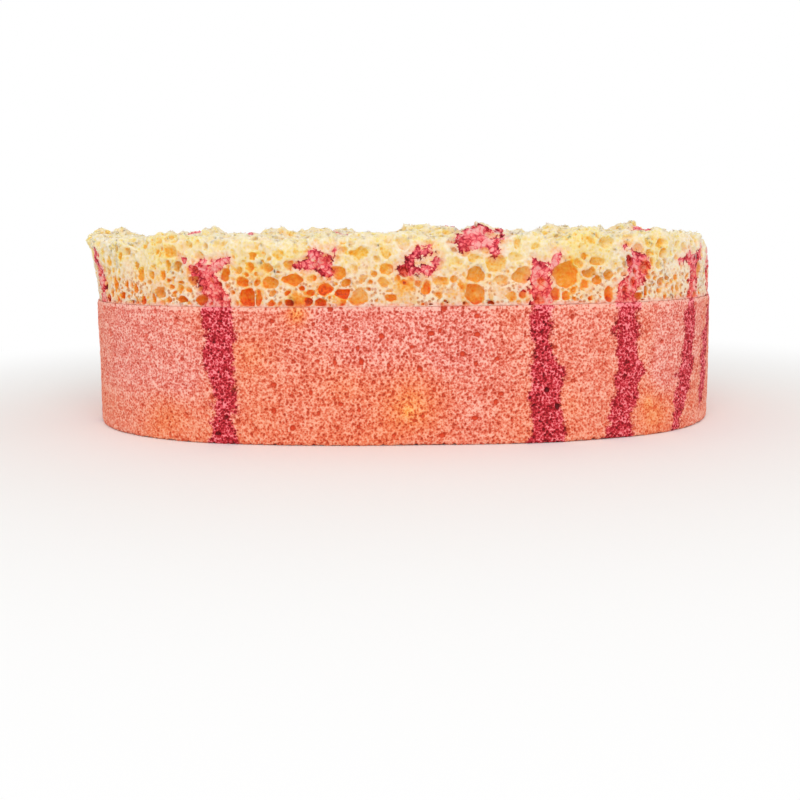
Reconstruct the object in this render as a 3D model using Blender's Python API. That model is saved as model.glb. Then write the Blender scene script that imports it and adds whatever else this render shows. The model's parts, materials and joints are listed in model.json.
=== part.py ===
"""A bath sponge filled with soap.

Four pieces are stacked on the ground, at z = 0: a tall block of fine coral foam with a pocket in its top, a pad soaked
with amber soap in that pocket, a film of adhesive, and a layer of coarse cream foam with a torn, lumpy top. The plan of
the sponge is a superellipse, longest along X. Its front looks along -Y. Lengths are in metres.
"""

import math

import bmesh
import bpy
import numpy as np

# The outline that both foams are cut to.
SPONGE_LENGTH = 0.140
SPONGE_WIDTH = 0.098
PLAN_EXPONENT = 2.7

# The block of fine foam and the pocket in its top.
BODY_HEIGHT = 0.0272
BODY_EDGE_ROUND = 0.0008
POCKET_WALL = 0.021
POCKET_FLOOR = 0.008

# The soap pad that fills the pocket, and the film over both.
SOAP_EDGE_ROUND = 0.0015
FILM_THICKNESS = 0.0004
FILM_SETBACK = 0.002

# Every piece keeps this distance to the one that it touches.
TOUCH_GAP = 0.0003

# The coarse foam: its mean thickness, the round at its rim, and the way its two ends lean.
COARSE_THICKNESS = 0.0128
RIM_ROUND = 0.0012
LEFT_END_FLARE = 0.0018
RIGHT_END_DRAW = 0.0008
END_LEAN_SHARPNESS = 6

# Lumps torn up in the coarse foam's top. Those of the front rim are placed one by one, as the share of half the length
# at which each stands and its rise. The others stand on a loose square grid.
FRONT_RIM_LUMPS = (
    (-0.99, 0.0016), (-0.86, 0.0010), (-0.71, 0.0012), (-0.54, 0.0010), (-0.43, 0.0013),
    (-0.23, 0.0010), (-0.10, 0.0015), (0.03, 0.0012), (0.22, 0.0027), (0.37, 0.0010),
    (0.53, 0.0022), (0.68, 0.0016), (0.78, 0.0013), (0.90, 0.0010),
)
FRONT_LUMP_SETBACK = 0.003
LUMP_PITCH = 0.0095
LUMP_RISE = 0.0030
LUMP_DIP = 0.0018
LUMP_SPREAD = 0.0028
LUMP_SEED = 5

# Open pores of the coarse foam, in two rows round its wall and on a loose grid over its top.
WALL_PORE_PITCH = 0.0092
WALL_PORE_RADIUS_LOW = 0.0015
WALL_PORE_RADIUS_HIGH = 0.0026
TOP_PORE_PITCH = 0.0155
TOP_PORE_RADIUS_LOW = 0.0018
TOP_PORE_RADIUS_HIGH = 0.0032
PORE_SPACING = 0.0005
PORE_SINK = 0.25
PORE_SEED = 11

# Bands of crimson dye down the fine foam, each as its place on the outline, as a share of the way round from the +X
# end over the back, and its width.
DYE_BANDS = (
    (0.515, 0.0040), (0.648, 0.0066), (0.806, 0.0064), (0.853, 0.0062), (0.906, 0.0036),
    (0.972, 0.0030), (0.110, 0.0060), (0.235, 0.0064), (0.372, 0.0058),
)

# How finely the curved shapes are divided.
OUTLINE_POINTS = 96
POCKET_POINTS = 64
TOP_RINGS = 12
PORE_SIDES = 6
PORE_RINGS = 4
DENSE_POINTS = 4096
CUTTER_OVERSHOOT = 0.002

BODY_TOP = BODY_HEIGHT
FILM_BOTTOM = BODY_TOP + TOUCH_GAP
COARSE_BOTTOM = FILM_BOTTOM + FILM_THICKNESS + TOUCH_GAP
COARSE_MEAN_TOP = COARSE_BOTTOM + COARSE_THICKNESS


def clear_scene():
    """Takes every object out of the scene."""
    for thing in list(bpy.data.objects):
        bpy.data.objects.remove(thing, do_unlink=True)


def foam_or_soap(name, colour, roughness):
    """A Principled material with one colour."""
    material = bpy.data.materials.new(name)
    material.use_nodes = True
    shader = material.node_tree.nodes["Principled BSDF"]
    shader.inputs["Base Color"].default_value = (*colour, 1.0)
    shader.inputs["Roughness"].default_value = roughness
    shader.inputs["Metallic"].default_value = 0.0
    material.diffuse_color = (*colour, 1.0)
    return material


def coral_foam():
    return foam_or_soap("coral_foam", (0.87, 0.25, 0.18), 0.9)


def cream_foam():
    return foam_or_soap("cream_foam", (0.91, 0.74, 0.43), 0.9)


def amber_pore_walls():
    return foam_or_soap("amber_pore_walls", (0.85, 0.36, 0.05), 0.85)


def crimson_dye():
    return foam_or_soap("crimson_dye", (0.47, 0.02, 0.06), 0.85)


def amber_soap():
    return foam_or_soap("amber_soap", (0.80, 0.30, 0.04), 0.45)


def adhesive_film():
    return foam_or_soap("adhesive_film", (0.90, 0.62, 0.30), 0.5)


def superellipse(length, width, count):
    """Points evenly spaced round |x/a|^n + |y/b|^n = 1, from the +X end and over the +Y side."""
    turn = np.linspace(0.0, 2.0 * math.pi, DENSE_POINTS + 1)
    power = 2.0 / PLAN_EXPONENT
    dense = np.stack(
        [
            length / 2 * np.sign(np.cos(turn)) * np.abs(np.cos(turn)) ** power,
            width / 2 * np.sign(np.sin(turn)) * np.abs(np.sin(turn)) ** power,
        ],
        axis=1,
    )
    steps = np.linalg.norm(np.diff(dense, axis=0), axis=1)
    walked = np.concatenate([[0.0], np.cumsum(steps)])
    stops = np.arange(count) / count * walked[-1]
    return np.stack([np.interp(stops, walked, dense[:, axis]) for axis in (0, 1)], axis=1)


def outward(outline):
    """The outward normal at each point of a closed outline that runs counter-clockwise."""
    along = np.roll(outline, -1, axis=0) - np.roll(outline, 1, axis=0)
    normal = np.stack([along[:, 1], -along[:, 0]], axis=1)
    return normal / np.linalg.norm(normal, axis=1, keepdims=True)


def perimeter(outline):
    return float(np.linalg.norm(np.roll(outline, -1, axis=0) - outline, axis=1).sum())


def level(outline, height):
    """An outline lifted to one height, or to a height for each of its points."""
    return np.column_stack([outline, np.broadcast_to(height, len(outline))])


def skin(name, rings, materials, tip=None):
    """An object skinned over closed rings of as many points each, from the lowest ring up, with flat ends.

    A tip closes the last ring with a fan of triangles to one point.
    """
    count = len(rings[0])
    shape = bmesh.new()
    loops = [[shape.verts.new(point) for point in ring] for ring in rings]
    shape.faces.new(reversed(loops[0]))
    for low, high in zip(loops, loops[1:]):
        for i in range(count):
            j = (i + 1) % count
            shape.faces.new((low[i], low[j], high[j], high[i]))
    if tip is None:
        shape.faces.new(loops[-1])
    else:
        peak = shape.verts.new(tip)
        for i in range(count):
            shape.faces.new((loops[-1][i], loops[-1][(i + 1) % count], peak))
    return finished(name, shape, materials)


def finished(name, shape, materials):
    """An object of a bmesh whose four-sided faces, which needn't be flat, are cut into triangles first."""
    bmesh.ops.recalc_face_normals(shape, faces=shape.faces)
    bmesh.ops.triangulate(shape, faces=[face for face in shape.faces if len(face.verts) == 4])
    mesh = bpy.data.meshes.new(name)
    shape.to_mesh(mesh)
    shape.free()
    for material in materials:
        mesh.materials.append(material)
    thing = bpy.data.objects.new(name, mesh)
    bpy.context.collection.objects.link(thing)
    return thing


def rounded_slab(name, outline, bottom, top, round_low, round_high, materials):
    """A slab with its lower and upper edges rounded in two flats each. A round of 0 leaves an edge sharp."""
    normal = outward(outline)
    quarter = 1.0 - math.sqrt(0.5)
    rings = []
    if round_low:
        rings.append(level(outline - normal * round_low, bottom))
        rings.append(level(outline - normal * round_low * quarter, bottom + round_low * quarter))
    rings.append(level(outline, bottom + round_low))
    rings.append(level(outline, top - round_high))
    if round_high:
        rings.append(level(outline - normal * round_high * quarter, top - round_high * quarter))
        rings.append(level(outline - normal * round_high, top))
    return skin(name, rings, materials)


def cut(target, cutter):
    """Cuts one object out of another with a modifier, and leaves the cutter as a hidden guide."""
    cutter.hide_render = True
    cutter.display_type = "WIRE"
    modifier = target.modifiers.new(f"cut_{cutter.name}", "BOOLEAN")
    modifier.operation = "DIFFERENCE"
    modifier.solver = "EXACT"
    modifier.object = cutter


def dye_columns(outline):
    """Which stretches of an outline, from each point to the next, lie in a band of dye."""
    around = perimeter(outline)
    middle = (np.arange(len(outline)) + 0.5) / len(outline)
    dyed = np.zeros(len(outline), bool)
    for place, width in DYE_BANDS:
        apart = np.abs((middle - place + 0.5) % 1.0 - 0.5) * around
        dyed |= apart < width / 2
    return dyed


def dye_walls(thing, outline, slot):
    """Gives the wall faces of a skinned object that lie in a band of dye its crimson slot."""
    dyed = dye_columns(outline)
    columns = len(outline)
    for face in thing.data.polygons:
        if len(face.vertices) == 3 and abs(face.normal.z) < 0.5:
            mine = sorted({index % columns for index in face.vertices})
            column = columns - 1 if mine == [0, columns - 1] else mine[0]
            if dyed[column]:
                face.material_index = slot


def fine_foam_body():
    outline = superellipse(SPONGE_LENGTH, SPONGE_WIDTH, OUTLINE_POINTS)
    colours = (coral_foam(), crimson_dye())
    body = rounded_slab("fine_foam_body", outline, 0.0, BODY_TOP, BODY_EDGE_ROUND, 0.0, colours)
    dye_walls(body, outline, 1)
    pocket = superellipse(SPONGE_LENGTH - 2 * POCKET_WALL, SPONGE_WIDTH - 2 * POCKET_WALL, POCKET_POINTS)
    above = BODY_TOP + CUTTER_OVERSHOOT
    cut(body, rounded_slab("pocket_cutter", pocket, POCKET_FLOOR, above, SOAP_EDGE_ROUND, 0.0, colours[:1]))
    return body


def soap_core():
    inset = POCKET_WALL + TOUCH_GAP
    outline = superellipse(SPONGE_LENGTH - 2 * inset, SPONGE_WIDTH - 2 * inset, POCKET_POINTS)
    bottom = POCKET_FLOOR + TOUCH_GAP
    return rounded_slab("soap_core", outline, bottom, BODY_TOP, SOAP_EDGE_ROUND, 0.0, (amber_soap(),))


def bond_film():
    outline = superellipse(SPONGE_LENGTH - 2 * FILM_SETBACK, SPONGE_WIDTH - 2 * FILM_SETBACK, POCKET_POINTS)
    top = FILM_BOTTOM + FILM_THICKNESS
    return rounded_slab("bond_film", outline, FILM_BOTTOM, top, 0.0, 0.0, (adhesive_film(),))


def edge_distance_y(x):
    """How far the outline stands from the X axis at a place along the length."""
    share = np.clip(np.abs(x) / (SPONGE_LENGTH / 2), 0.0, 1.0)
    return SPONGE_WIDTH / 2 * (1.0 - share**PLAN_EXPONENT) ** (1.0 / PLAN_EXPONENT)


def lumps():
    """Each lump of the torn top as its x, its y and its rise, those of the front rim first."""
    placed = []
    for share, rise in FRONT_RIM_LUMPS:
        x = share * (SPONGE_LENGTH / 2 - FRONT_LUMP_SETBACK)
        placed.append((x, FRONT_LUMP_SETBACK - edge_distance_y(x), rise))
    front = np.array(placed)
    columns = int(SPONGE_LENGTH / LUMP_PITCH) + 1
    rows = int(SPONGE_WIDTH / LUMP_PITCH) + 1
    draw = np.random.default_rng(LUMP_SEED)
    for row in range(rows):
        for column in range(columns):
            shift_x, shift_y, height = draw.uniform(-0.5, 0.5, 3)
            x = (column - (columns - 1) / 2 + 0.7 * shift_x) * LUMP_PITCH
            y = (row - (rows - 1) / 2 + 0.7 * shift_y) * LUMP_PITCH
            rise = height * (LUMP_RISE + LUMP_DIP) + (LUMP_RISE - LUMP_DIP) / 2
            if np.hypot(front[:, 0] - x, front[:, 1] - y).min() > LUMP_PITCH * 0.75:
                placed.append((x, y, rise))
    return np.array(placed)


def torn_top(plan, sites):
    """The height of the torn top over each point of a plan: the mean top and a bell for each lump."""
    apart = np.hypot(plan[:, None, 0] - sites[None, :, 0], plan[:, None, 1] - sites[None, :, 1])
    return COARSE_MEAN_TOP + (sites[:, 2] * np.exp(-0.5 * (apart / LUMP_SPREAD) ** 2)).sum(axis=1)


def leaning(outline, share_up):
    """The coarse foam's outline at a share of the way up: its -X end leans out and its +X end draws in."""
    along = outline[:, 0] / (SPONGE_LENGTH / 2)
    left = np.clip(-along, 0.0, 1.0) ** END_LEAN_SHARPNESS * LEFT_END_FLARE
    right = np.clip(along, 0.0, 1.0) ** END_LEAN_SHARPNESS * RIGHT_END_DRAW
    lean = (left - right) * share_up**2
    return outline + outward(outline) * lean[:, None]


def sphere_points(centre, radius):
    """The rings and the two poles of a sphere."""
    rings = []
    for ring in range(1, PORE_RINGS):
        polar = math.pi * ring / PORE_RINGS
        turn = 2.0 * math.pi * (np.arange(PORE_SIDES) + 0.5 * (ring % 2)) / PORE_SIDES
        place = np.stack(
            [np.cos(turn) * math.sin(polar), np.sin(turn) * math.sin(polar), np.full(PORE_SIDES, -math.cos(polar))],
            axis=1,
        )
        rings.append(centre + radius * place)
    poles = (centre - (0.0, 0.0, radius), centre + (0.0, 0.0, radius))
    return rings, poles


def pore_cutter(pores, materials):
    """One object that holds every pore's sphere, its faces in the second material slot."""
    shape = bmesh.new()
    for centre, radius in pores:
        rings, poles = sphere_points(centre, radius)
        loops = [[shape.verts.new(point) for point in ring] for ring in rings]
        foot, head = (shape.verts.new(pole) for pole in poles)
        for i in range(PORE_SIDES):
            j = (i + 1) % PORE_SIDES
            shape.faces.new((foot, loops[0][j], loops[0][i]))
            shape.faces.new((loops[-1][i], loops[-1][j], head))
            for low, high in zip(loops, loops[1:]):
                shape.faces.new((low[i], low[j], high[j], high[i]))
    for face in shape.faces:
        face.material_index = 1
        face.smooth = True
    return finished("pore_cutter", shape, materials)


def keep_apart(candidates):
    """The candidates, each a centre and a radius, that stay clear of every one kept before them."""
    kept = []
    for centre, radius in candidates:
        if all(np.linalg.norm(centre - other) > radius + size + PORE_SPACING for other, size in kept):
            kept.append((centre, radius))
    return kept


def wall_pores(draw):
    """Pores that open through the wall, in two rows as high as the thickness leaves room for."""
    outline = superellipse(SPONGE_LENGTH, SPONGE_WIDTH, DENSE_POINTS)
    normal = outward(outline)
    in_a_row = int(perimeter(outline) / WALL_PORE_PITCH)
    low = COARSE_BOTTOM + WALL_PORE_RADIUS_HIGH + PORE_SPACING
    high = COARSE_MEAN_TOP - RIM_ROUND - LUMP_DIP - WALL_PORE_RADIUS_HIGH
    found = []
    for row, height in enumerate((low, high)):
        for step in range(in_a_row):
            shift, size, lift = draw.random(3)
            spot = int((step + 0.5 * row + 0.4 * shift) / in_a_row * DENSE_POINTS) % DENSE_POINTS
            radius = WALL_PORE_RADIUS_LOW + size * (WALL_PORE_RADIUS_HIGH - WALL_PORE_RADIUS_LOW)
            rise = (lift - 0.5) * 2 * (WALL_PORE_RADIUS_HIGH - radius)
            place = outline[spot] - normal[spot] * radius * PORE_SINK
            found.append((np.array((*place, height + rise)), radius))
    return found


def top_pores(draw, sites):
    """Pores that open through the torn top, inside a margin from the rim."""
    columns = int(SPONGE_LENGTH / TOP_PORE_PITCH) + 1
    rows = int(SPONGE_WIDTH / TOP_PORE_PITCH) + 1
    margin = RIM_ROUND + WALL_PORE_RADIUS_HIGH + TOP_PORE_RADIUS_HIGH
    found = []
    for row in range(rows):
        for column in range(columns):
            shift_x, shift_y, size = draw.random(3)
            x = (column - (columns - 1) / 2 + 0.5 * (shift_x - 0.5)) * TOP_PORE_PITCH
            y = (row - (rows - 1) / 2 + 0.5 * (shift_y - 0.5)) * TOP_PORE_PITCH
            radius = TOP_PORE_RADIUS_LOW + size * (TOP_PORE_RADIUS_HIGH - TOP_PORE_RADIUS_LOW)
            reach = (abs(x) / (SPONGE_LENGTH / 2 - margin)) ** PLAN_EXPONENT
            reach += (abs(y) / (SPONGE_WIDTH / 2 - margin)) ** PLAN_EXPONENT
            if reach < 1.0:
                height = torn_top(np.array([(x, y)]), sites)[0] - radius * PORE_SINK
                found.append((np.array((x, y, height)), radius))
    return found


def coarse_foam_layer():
    outline = superellipse(SPONGE_LENGTH, SPONGE_WIDTH, OUTLINE_POINTS)
    colours = (cream_foam(), amber_pore_walls(), crimson_dye())
    sites = lumps()
    rings = [level(outline, COARSE_BOTTOM)]
    for share_up in (0.5, 1.0):
        plan = leaning(outline, share_up)
        wall_top = torn_top(plan, sites) - RIM_ROUND
        rings.append(level(plan, COARSE_BOTTOM + share_up * (wall_top - COARSE_BOTTOM)))
    rim = leaning(outline, 1.0)
    inward = outward(rim) * RIM_ROUND
    for share_in, share_down in ((0.3, 0.3), (1.0, 0.0)):
        plan = rim - inward * share_in
        rings.append(level(plan, torn_top(plan, sites) - RIM_ROUND * share_down))
    for ring in range(1, TOP_RINGS):
        plan = (rim - inward) * (1.0 - ring / TOP_RINGS)
        rings.append(level(plan, torn_top(plan, sites)))
    tip = (0.0, 0.0, torn_top(np.zeros((1, 2)), sites)[0])
    layer = skin("coarse_foam_layer", rings, colours, tip)
    dye_walls(layer, outline, 2)
    draw = np.random.default_rng(PORE_SEED)
    pores = keep_apart(wall_pores(draw) + top_pores(draw, sites))
    cut(layer, pore_cutter(pores, colours))
    return layer


def main():
    clear_scene()
    fine_foam_body()
    soap_core()
    bond_film()
    coarse_foam_layer()


main()
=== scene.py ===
"""A bath sponge filled with soap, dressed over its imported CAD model.

The coarse scrubbing foam, the fine foam body and the soap pad are new pieces, worked out with numpy and fitted to the
same superellipse as the CAD solids. The film of adhesive is the CAD node itself with a finish. Lengths are in metres,
and those of the pore, streak, band and patch tables in millimetres.
"""

import functools
import itertools
import json
import math

import bpy
import numpy as np
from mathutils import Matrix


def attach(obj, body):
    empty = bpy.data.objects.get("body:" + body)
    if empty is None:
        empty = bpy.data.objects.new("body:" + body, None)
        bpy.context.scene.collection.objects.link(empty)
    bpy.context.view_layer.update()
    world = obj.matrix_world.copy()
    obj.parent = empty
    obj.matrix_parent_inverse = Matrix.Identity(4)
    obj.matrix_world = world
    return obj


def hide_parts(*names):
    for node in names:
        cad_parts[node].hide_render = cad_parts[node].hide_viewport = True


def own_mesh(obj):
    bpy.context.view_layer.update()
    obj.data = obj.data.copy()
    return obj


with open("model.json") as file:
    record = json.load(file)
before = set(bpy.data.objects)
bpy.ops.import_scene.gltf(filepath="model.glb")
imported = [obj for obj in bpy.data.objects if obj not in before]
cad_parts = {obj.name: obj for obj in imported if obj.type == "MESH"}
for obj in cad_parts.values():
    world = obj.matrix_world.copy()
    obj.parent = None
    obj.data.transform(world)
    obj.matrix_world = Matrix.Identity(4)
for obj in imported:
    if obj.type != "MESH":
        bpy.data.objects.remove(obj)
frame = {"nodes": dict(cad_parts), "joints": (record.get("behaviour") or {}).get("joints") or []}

bl_info = {
    "name": "Soap-filled sponge",
    "version": (1, 0, 0),
    "blender": (4, 5, 0),
    "location": "View3D > Sidebar > Sponge",
    "description": "Builds a two-layer bath sponge filled with soap",
    "category": "Object",
}

MM = 0.001

# The outline that both foams are cut to, and the levels of the stack.
SPONGE_LENGTH = 0.140
SPONGE_WIDTH = 0.098
PLAN_EXPONENT = 2.7
BODY_TOP = 0.0272
COARSE_BOTTOM = 0.0282
COARSE_MEAN_TOP = 0.0410

# How finely the outline is walked and kept, and the share of the way round, from the +X end over the +Y side, at which
# the front's middle lies.
OUTLINE_STEPS = 16384
OUTLINE_COUNT = 4096
FRONT_SHARE = 0.75

# The pocket in the fine foam.
POCKET_WALL = 0.021
POCKET_FLOOR = 0.008
POCKET_ROUND = 0.0015
TOUCH_GAP = 0.0003

# The soap pad: points round each ring, steps over each rounded edge and over each flat face, and how far its top is
# sunk in the middle.
SOAP_COLUMNS = 192
SOAP_EDGE_STEPS = 6
SOAP_FLAT_STEPS = 14
SOAP_SINK = 0.0004

# Lumps torn up in the coarse foam's top, as in the CAD solid. The shake of their places and their clearance from the
# front's lumps are shares of their pitch.
FRONT_RIM_LUMPS = (
    (-0.99, 0.0016), (-0.86, 0.0010), (-0.71, 0.0012), (-0.54, 0.0010), (-0.43, 0.0013),
    (-0.23, 0.0010), (-0.10, 0.0015), (0.03, 0.0012), (0.22, 0.0027), (0.37, 0.0010),
    (0.53, 0.0022), (0.68, 0.0016), (0.78, 0.0013), (0.90, 0.0010),
)
FRONT_LUMP_SETBACK = 0.003
FRONT_LUMP_CLEARANCE = 0.75
LUMP_PITCH = 0.0095
LUMP_SHAKE = 0.7
LUMP_RISE = 0.0030
LUMP_DIP = 0.0018
LUMP_SPREAD = 0.0028
LUMP_SEED = 5
RIM_ROUND = 0.0012
CRUMB_LOSS = 0.0007
LEFT_END_FLARE = 0.0018
RIGHT_END_DRAW = 0.0008
END_LEAN_SHARPNESS = 6

# The coarse foam's skirt, which comes down round the film to the body, and the whole skin kept under its pores.
SKIRT_BOTTOM = 0.02728
SKIRT_WIDTH = 0.0017
SKIN_UNDER_PORES = 0.00034

# Random pores of the coarse foam: radius from and to in millimetres and tries, how far each is stretched, and the gap
# that it keeps from those before it. Its centre lies at most a share of its radius under the surface or over it. Then,
# for every pore, how far it swells at most, its depth as a share of its width, and the wall between two pores.
PORE_CLASSES = ((1.3, 2.1, 1200), (0.75, 1.2, 30000), (0.45, 0.70, 120000), (0.28, 0.42, 300000))
PORE_STRETCH = (0.82, 1.22)
PORE_GAP = (0.00002, 0.00022)
PORE_SINK = 0.45
PORE_RISE = 0.40
PORE_RISE_TORN = 0.80
PORE_GROWTH = 0.00030
PORE_DEPTH = 0.55
CELL_WALL = 0.00040
CELL_WALL_SPREAD = 0.00014
PORE_SEED = 23

# How far outside the foam's surface random pores are centred, from and to, and how far at most a pore of the front is
# moved to lie on it.
NEAR_SURFACE = (-0.0010, 0.0015)
FRONT_PORE_SHIFT = 0.0015

# The shares of the coarse foam's height between which its faces turn from cut to torn.
TORN_HEIGHTS = (0.35, 0.8)

# The grid of the coarse foam: its corners, its pitch, and the values that a sample far from any pore starts with. Far
# is also the start for a point far from any streak.
GRID_LOW = (-0.0735, -0.0505, 0.0268)
GRID_HIGH = (0.0722, 0.0505, 0.0458)
COARSE_PITCH = 0.00032
FAR = 0.01
SOAP_BETWEEN_PORES = 0.3

# Noise, as rise, size and seed: crumbs torn out of the coarse foam's faces, the warp of its pores, the ragged edges of
# its dye, those of the fine foam's bands in millimetres, and the waves of the fine foam's wall.
CRUMBS = ((0.00042, 0.0048, 51), (0.00042, 0.0022, 52), (0.00036, 0.0011, 53))
PORE_WARP = ((0.00042, 0.0024, 60), (0.00016, 0.0011, 64))
DYE_RAG = ((0.0005, 0.0026, 70), (0.0006, 0.0013, 71), (0.0004, 0.0007, 72))
BAND_RAG = ((0.9, 2.4, 75), (0.55, 0.9, 76))
WALL_UNEVEN = ((0.00010, 0.0011, 87), (0.00022, 0.012, 88))

# Torn strands on the coarse foam's top: how many, how far each rises and reaches sideways, its radius at the foot and
# how deep it is rooted. The mark is the value low on a strand, which is 0 to 1 elsewhere.
STRANDS = 5000
STRAND_RISE = (0.00015, 0.00040)
STRAND_REACH = (0.00030, 0.00080)
STRAND_RADIUS = (0.00010, 0.00016)
STRAND_ROOT = 0.00015
STRAND_SEED = 93
STRAND_MARK = -0.5
PALETTE_SEED = 91

# Pores that stand out on the coarse foam's front: place round the front from its middle, height, the two radii of the
# opening along and up, and how much amber soap shows in it, from 0 to 1. Past 1 a pore is painted darker still: soap
# and dye that meet there, and painted shadow under the lump or ring of dye above it.
FRONT_PORES = (
    (-47.5, 38.3, 1.5, 1.5, 0.20), (-53.9, 39.7, 1.2, 1.0, 0.35), (-43.8, 39.7, 1.0, 0.8, 0.30),
    (-51.7, 34.9, 0.5, 0.5, 0.60), (-56.5, 35.4, 1.0, 0.8, 0.60), (-48.4, 32.5, 0.6, 0.4, 0.70),
    (-45.5, 32.2, 0.8, 0.4, 0.80), (-57.1, 30.5, 0.6, 1.1, 0.75), (-61.8, 29.0, 0.8, 0.8, 0.80),
    (-44.6, 28.6, 1.2, 0.7, 0.95), (-40.3, 28.7, 1.2, 1.0, 0.90), (-35.5, 33.6, 1.0, 1.0, 0.85),
    (-29.6, 37.3, 1.0, 0.8, 0.70), (-27.6, 37.3, 0.6, 0.6, 0.50), (-30.2, 35.1, 1.1, 1.1, 0.75),
    (-31.5, 32.0, 1.0, 1.0, 0.80), (-30.8, 29.3, 1.4, 1.6, 1.00), (-28.6, 29.2, 0.6, 1.4, 1.00),
    (-26.0, 32.2, 1.4, 1.1, 0.50), (-21.6, 32.7, 1.9, 1.2, 0.80), (-22.2, 28.4, 0.8, 0.8, 0.70),
    (-8.7, 37.5, 1.9, 1.4, 0.60), (-3.6, 38.5, 1.5, 1.4, 0.55), (-3.3, 34.4, 1.1, 1.2, 0.85),
    (-1.4, 35.9, 0.8, 0.8, 0.60), (-12.7, 34.0, 1.3, 1.1, 0.90), (-15.4, 30.7, 1.4, 1.1, 1.15),
    (-12.0, 29.9, 1.4, 1.0, 1.40), (-3.9, 32.1, 1.2, 1.0, 0.65), (-7.8, 32.9, 0.8, 1.0, 0.60),
    (4.2, 30.8, 0.9, 1.4, 1.10), (7.3, 32.4, 1.4, 1.1, 0.75), (9.7, 36.0, 1.4, 1.2, 0.50),
    (13.7, 36.7, 1.0, 1.0, 0.60), (13.9, 33.3, 1.6, 1.5, 0.70), (17.8, 35.7, 1.7, 1.4, 0.60),
    (13.5, 29.7, 1.8, 1.6, 0.75), (-2.5, 29.0, 1.2, 0.8, 0.90), (31.8, 33.2, 2.2, 2.3, 0.60),
    (22.6, 33.1, 1.7, 1.6, 0.55), (25.9, 38.6, 1.4, 1.1, 0.45), (23.2, 29.1, 1.0, 0.9, 1.00),
    (29.8, 29.1, 1.1, 1.2, 0.95), (32.0, 29.1, 0.9, 1.0, 0.80), (33.9, 28.6, 0.5, 0.5, 0.90),
    (35.3, 28.6, 0.6, 0.5, 0.90), (39.0, 28.9, 0.6, 0.8, 0.80), (41.2, 29.3, 0.8, 1.4, 1.00),
    (47.9, 28.7, 0.8, 0.8, 0.95), (38.5, 35.7, 1.5, 0.8, 0.50), (38.5, 32.1, 1.0, 0.8, 0.65),
    (36.6, 33.5, 1.0, 1.2, 0.55), (40.7, 33.0, 1.1, 0.8, 0.60), (34.6, 35.4, 1.0, 0.9, 0.30),
    (50.7, 37.4, 1.0, 0.6, 0.45), (55.6, 31.8, 0.6, 0.6, 0.70), (55.9, 30.4, 0.5, 0.6, 0.75),
    (62.1, 32.2, 0.7, 0.6, 0.85), (49.6, 34.5, 1.0, 1.2, 0.90), (-26.4, 34.9, 1.2, 0.8, 0.45),
    (-24.4, 37.5, 1.0, 1.0, 0.40), (-22.2, 35.7, 0.8, 0.8, 0.45), (-17.7, 33.1, 0.8, 0.6, 1.40),
    (-18.5, 30.0, 0.8, 0.8, 0.80), (0.2, 31.8, 0.7, 0.8, 1.30), (-1.2, 32.6, 0.6, 0.8, 1.25),
    (-29.2, 39.2, 1.0, 0.8, 0.40), (-23.0, 40.5, 0.6, 0.6, 0.85), (6.6, 29.3, 0.8, 0.8, 0.80),
    (1.9, 28.7, 0.8, 0.8, 0.80), (-64.2, 36.0, 0.8, 0.8, 0.50), (-50.2, 30.1, 1.2, 1.0, 0.40),
    (-59.3, 38.5, 1.0, 0.8, 0.35), (-40.7, 37.5, 1.0, 1.0, 0.35), (-36.4, 39.9, 1.2, 1.0, 0.35),
    (5.0, 40.1, 1.2, 1.0, 0.30), (22.0, 37.2, 1.4, 1.0, 0.30), (40.7, 39.4, 1.4, 1.0, 0.30),
    (45.7, 38.9, 1.2, 1.0, 0.30), (53.9, 39.0, 1.0, 1.0, 0.35), (53.4, 35.1, 1.0, 0.8, 0.40),
    (19.0, 32.4, 1.0, 1.0, 0.45), (8.9, 30.0, 0.8, 0.8, 0.50), (-9.5, 34.8, 1.0, 0.8, 0.35),
    (-19.3, 38.4, 1.0, 0.8, 0.35), (1.7, 32.6, 0.5, 0.6, 1.30), (2.2, 31.0, 0.5, 0.5, 1.20),
)

# How deep the streaks run under the coarse foam's wall, how far from them a point can still be dyed, and how far under
# the mean top those of the torn top reach.
STREAK_INSET = 0.0006
STREAK_REACH = 0.006
TOP_STREAK_DEPTH = 0.0035

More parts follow.
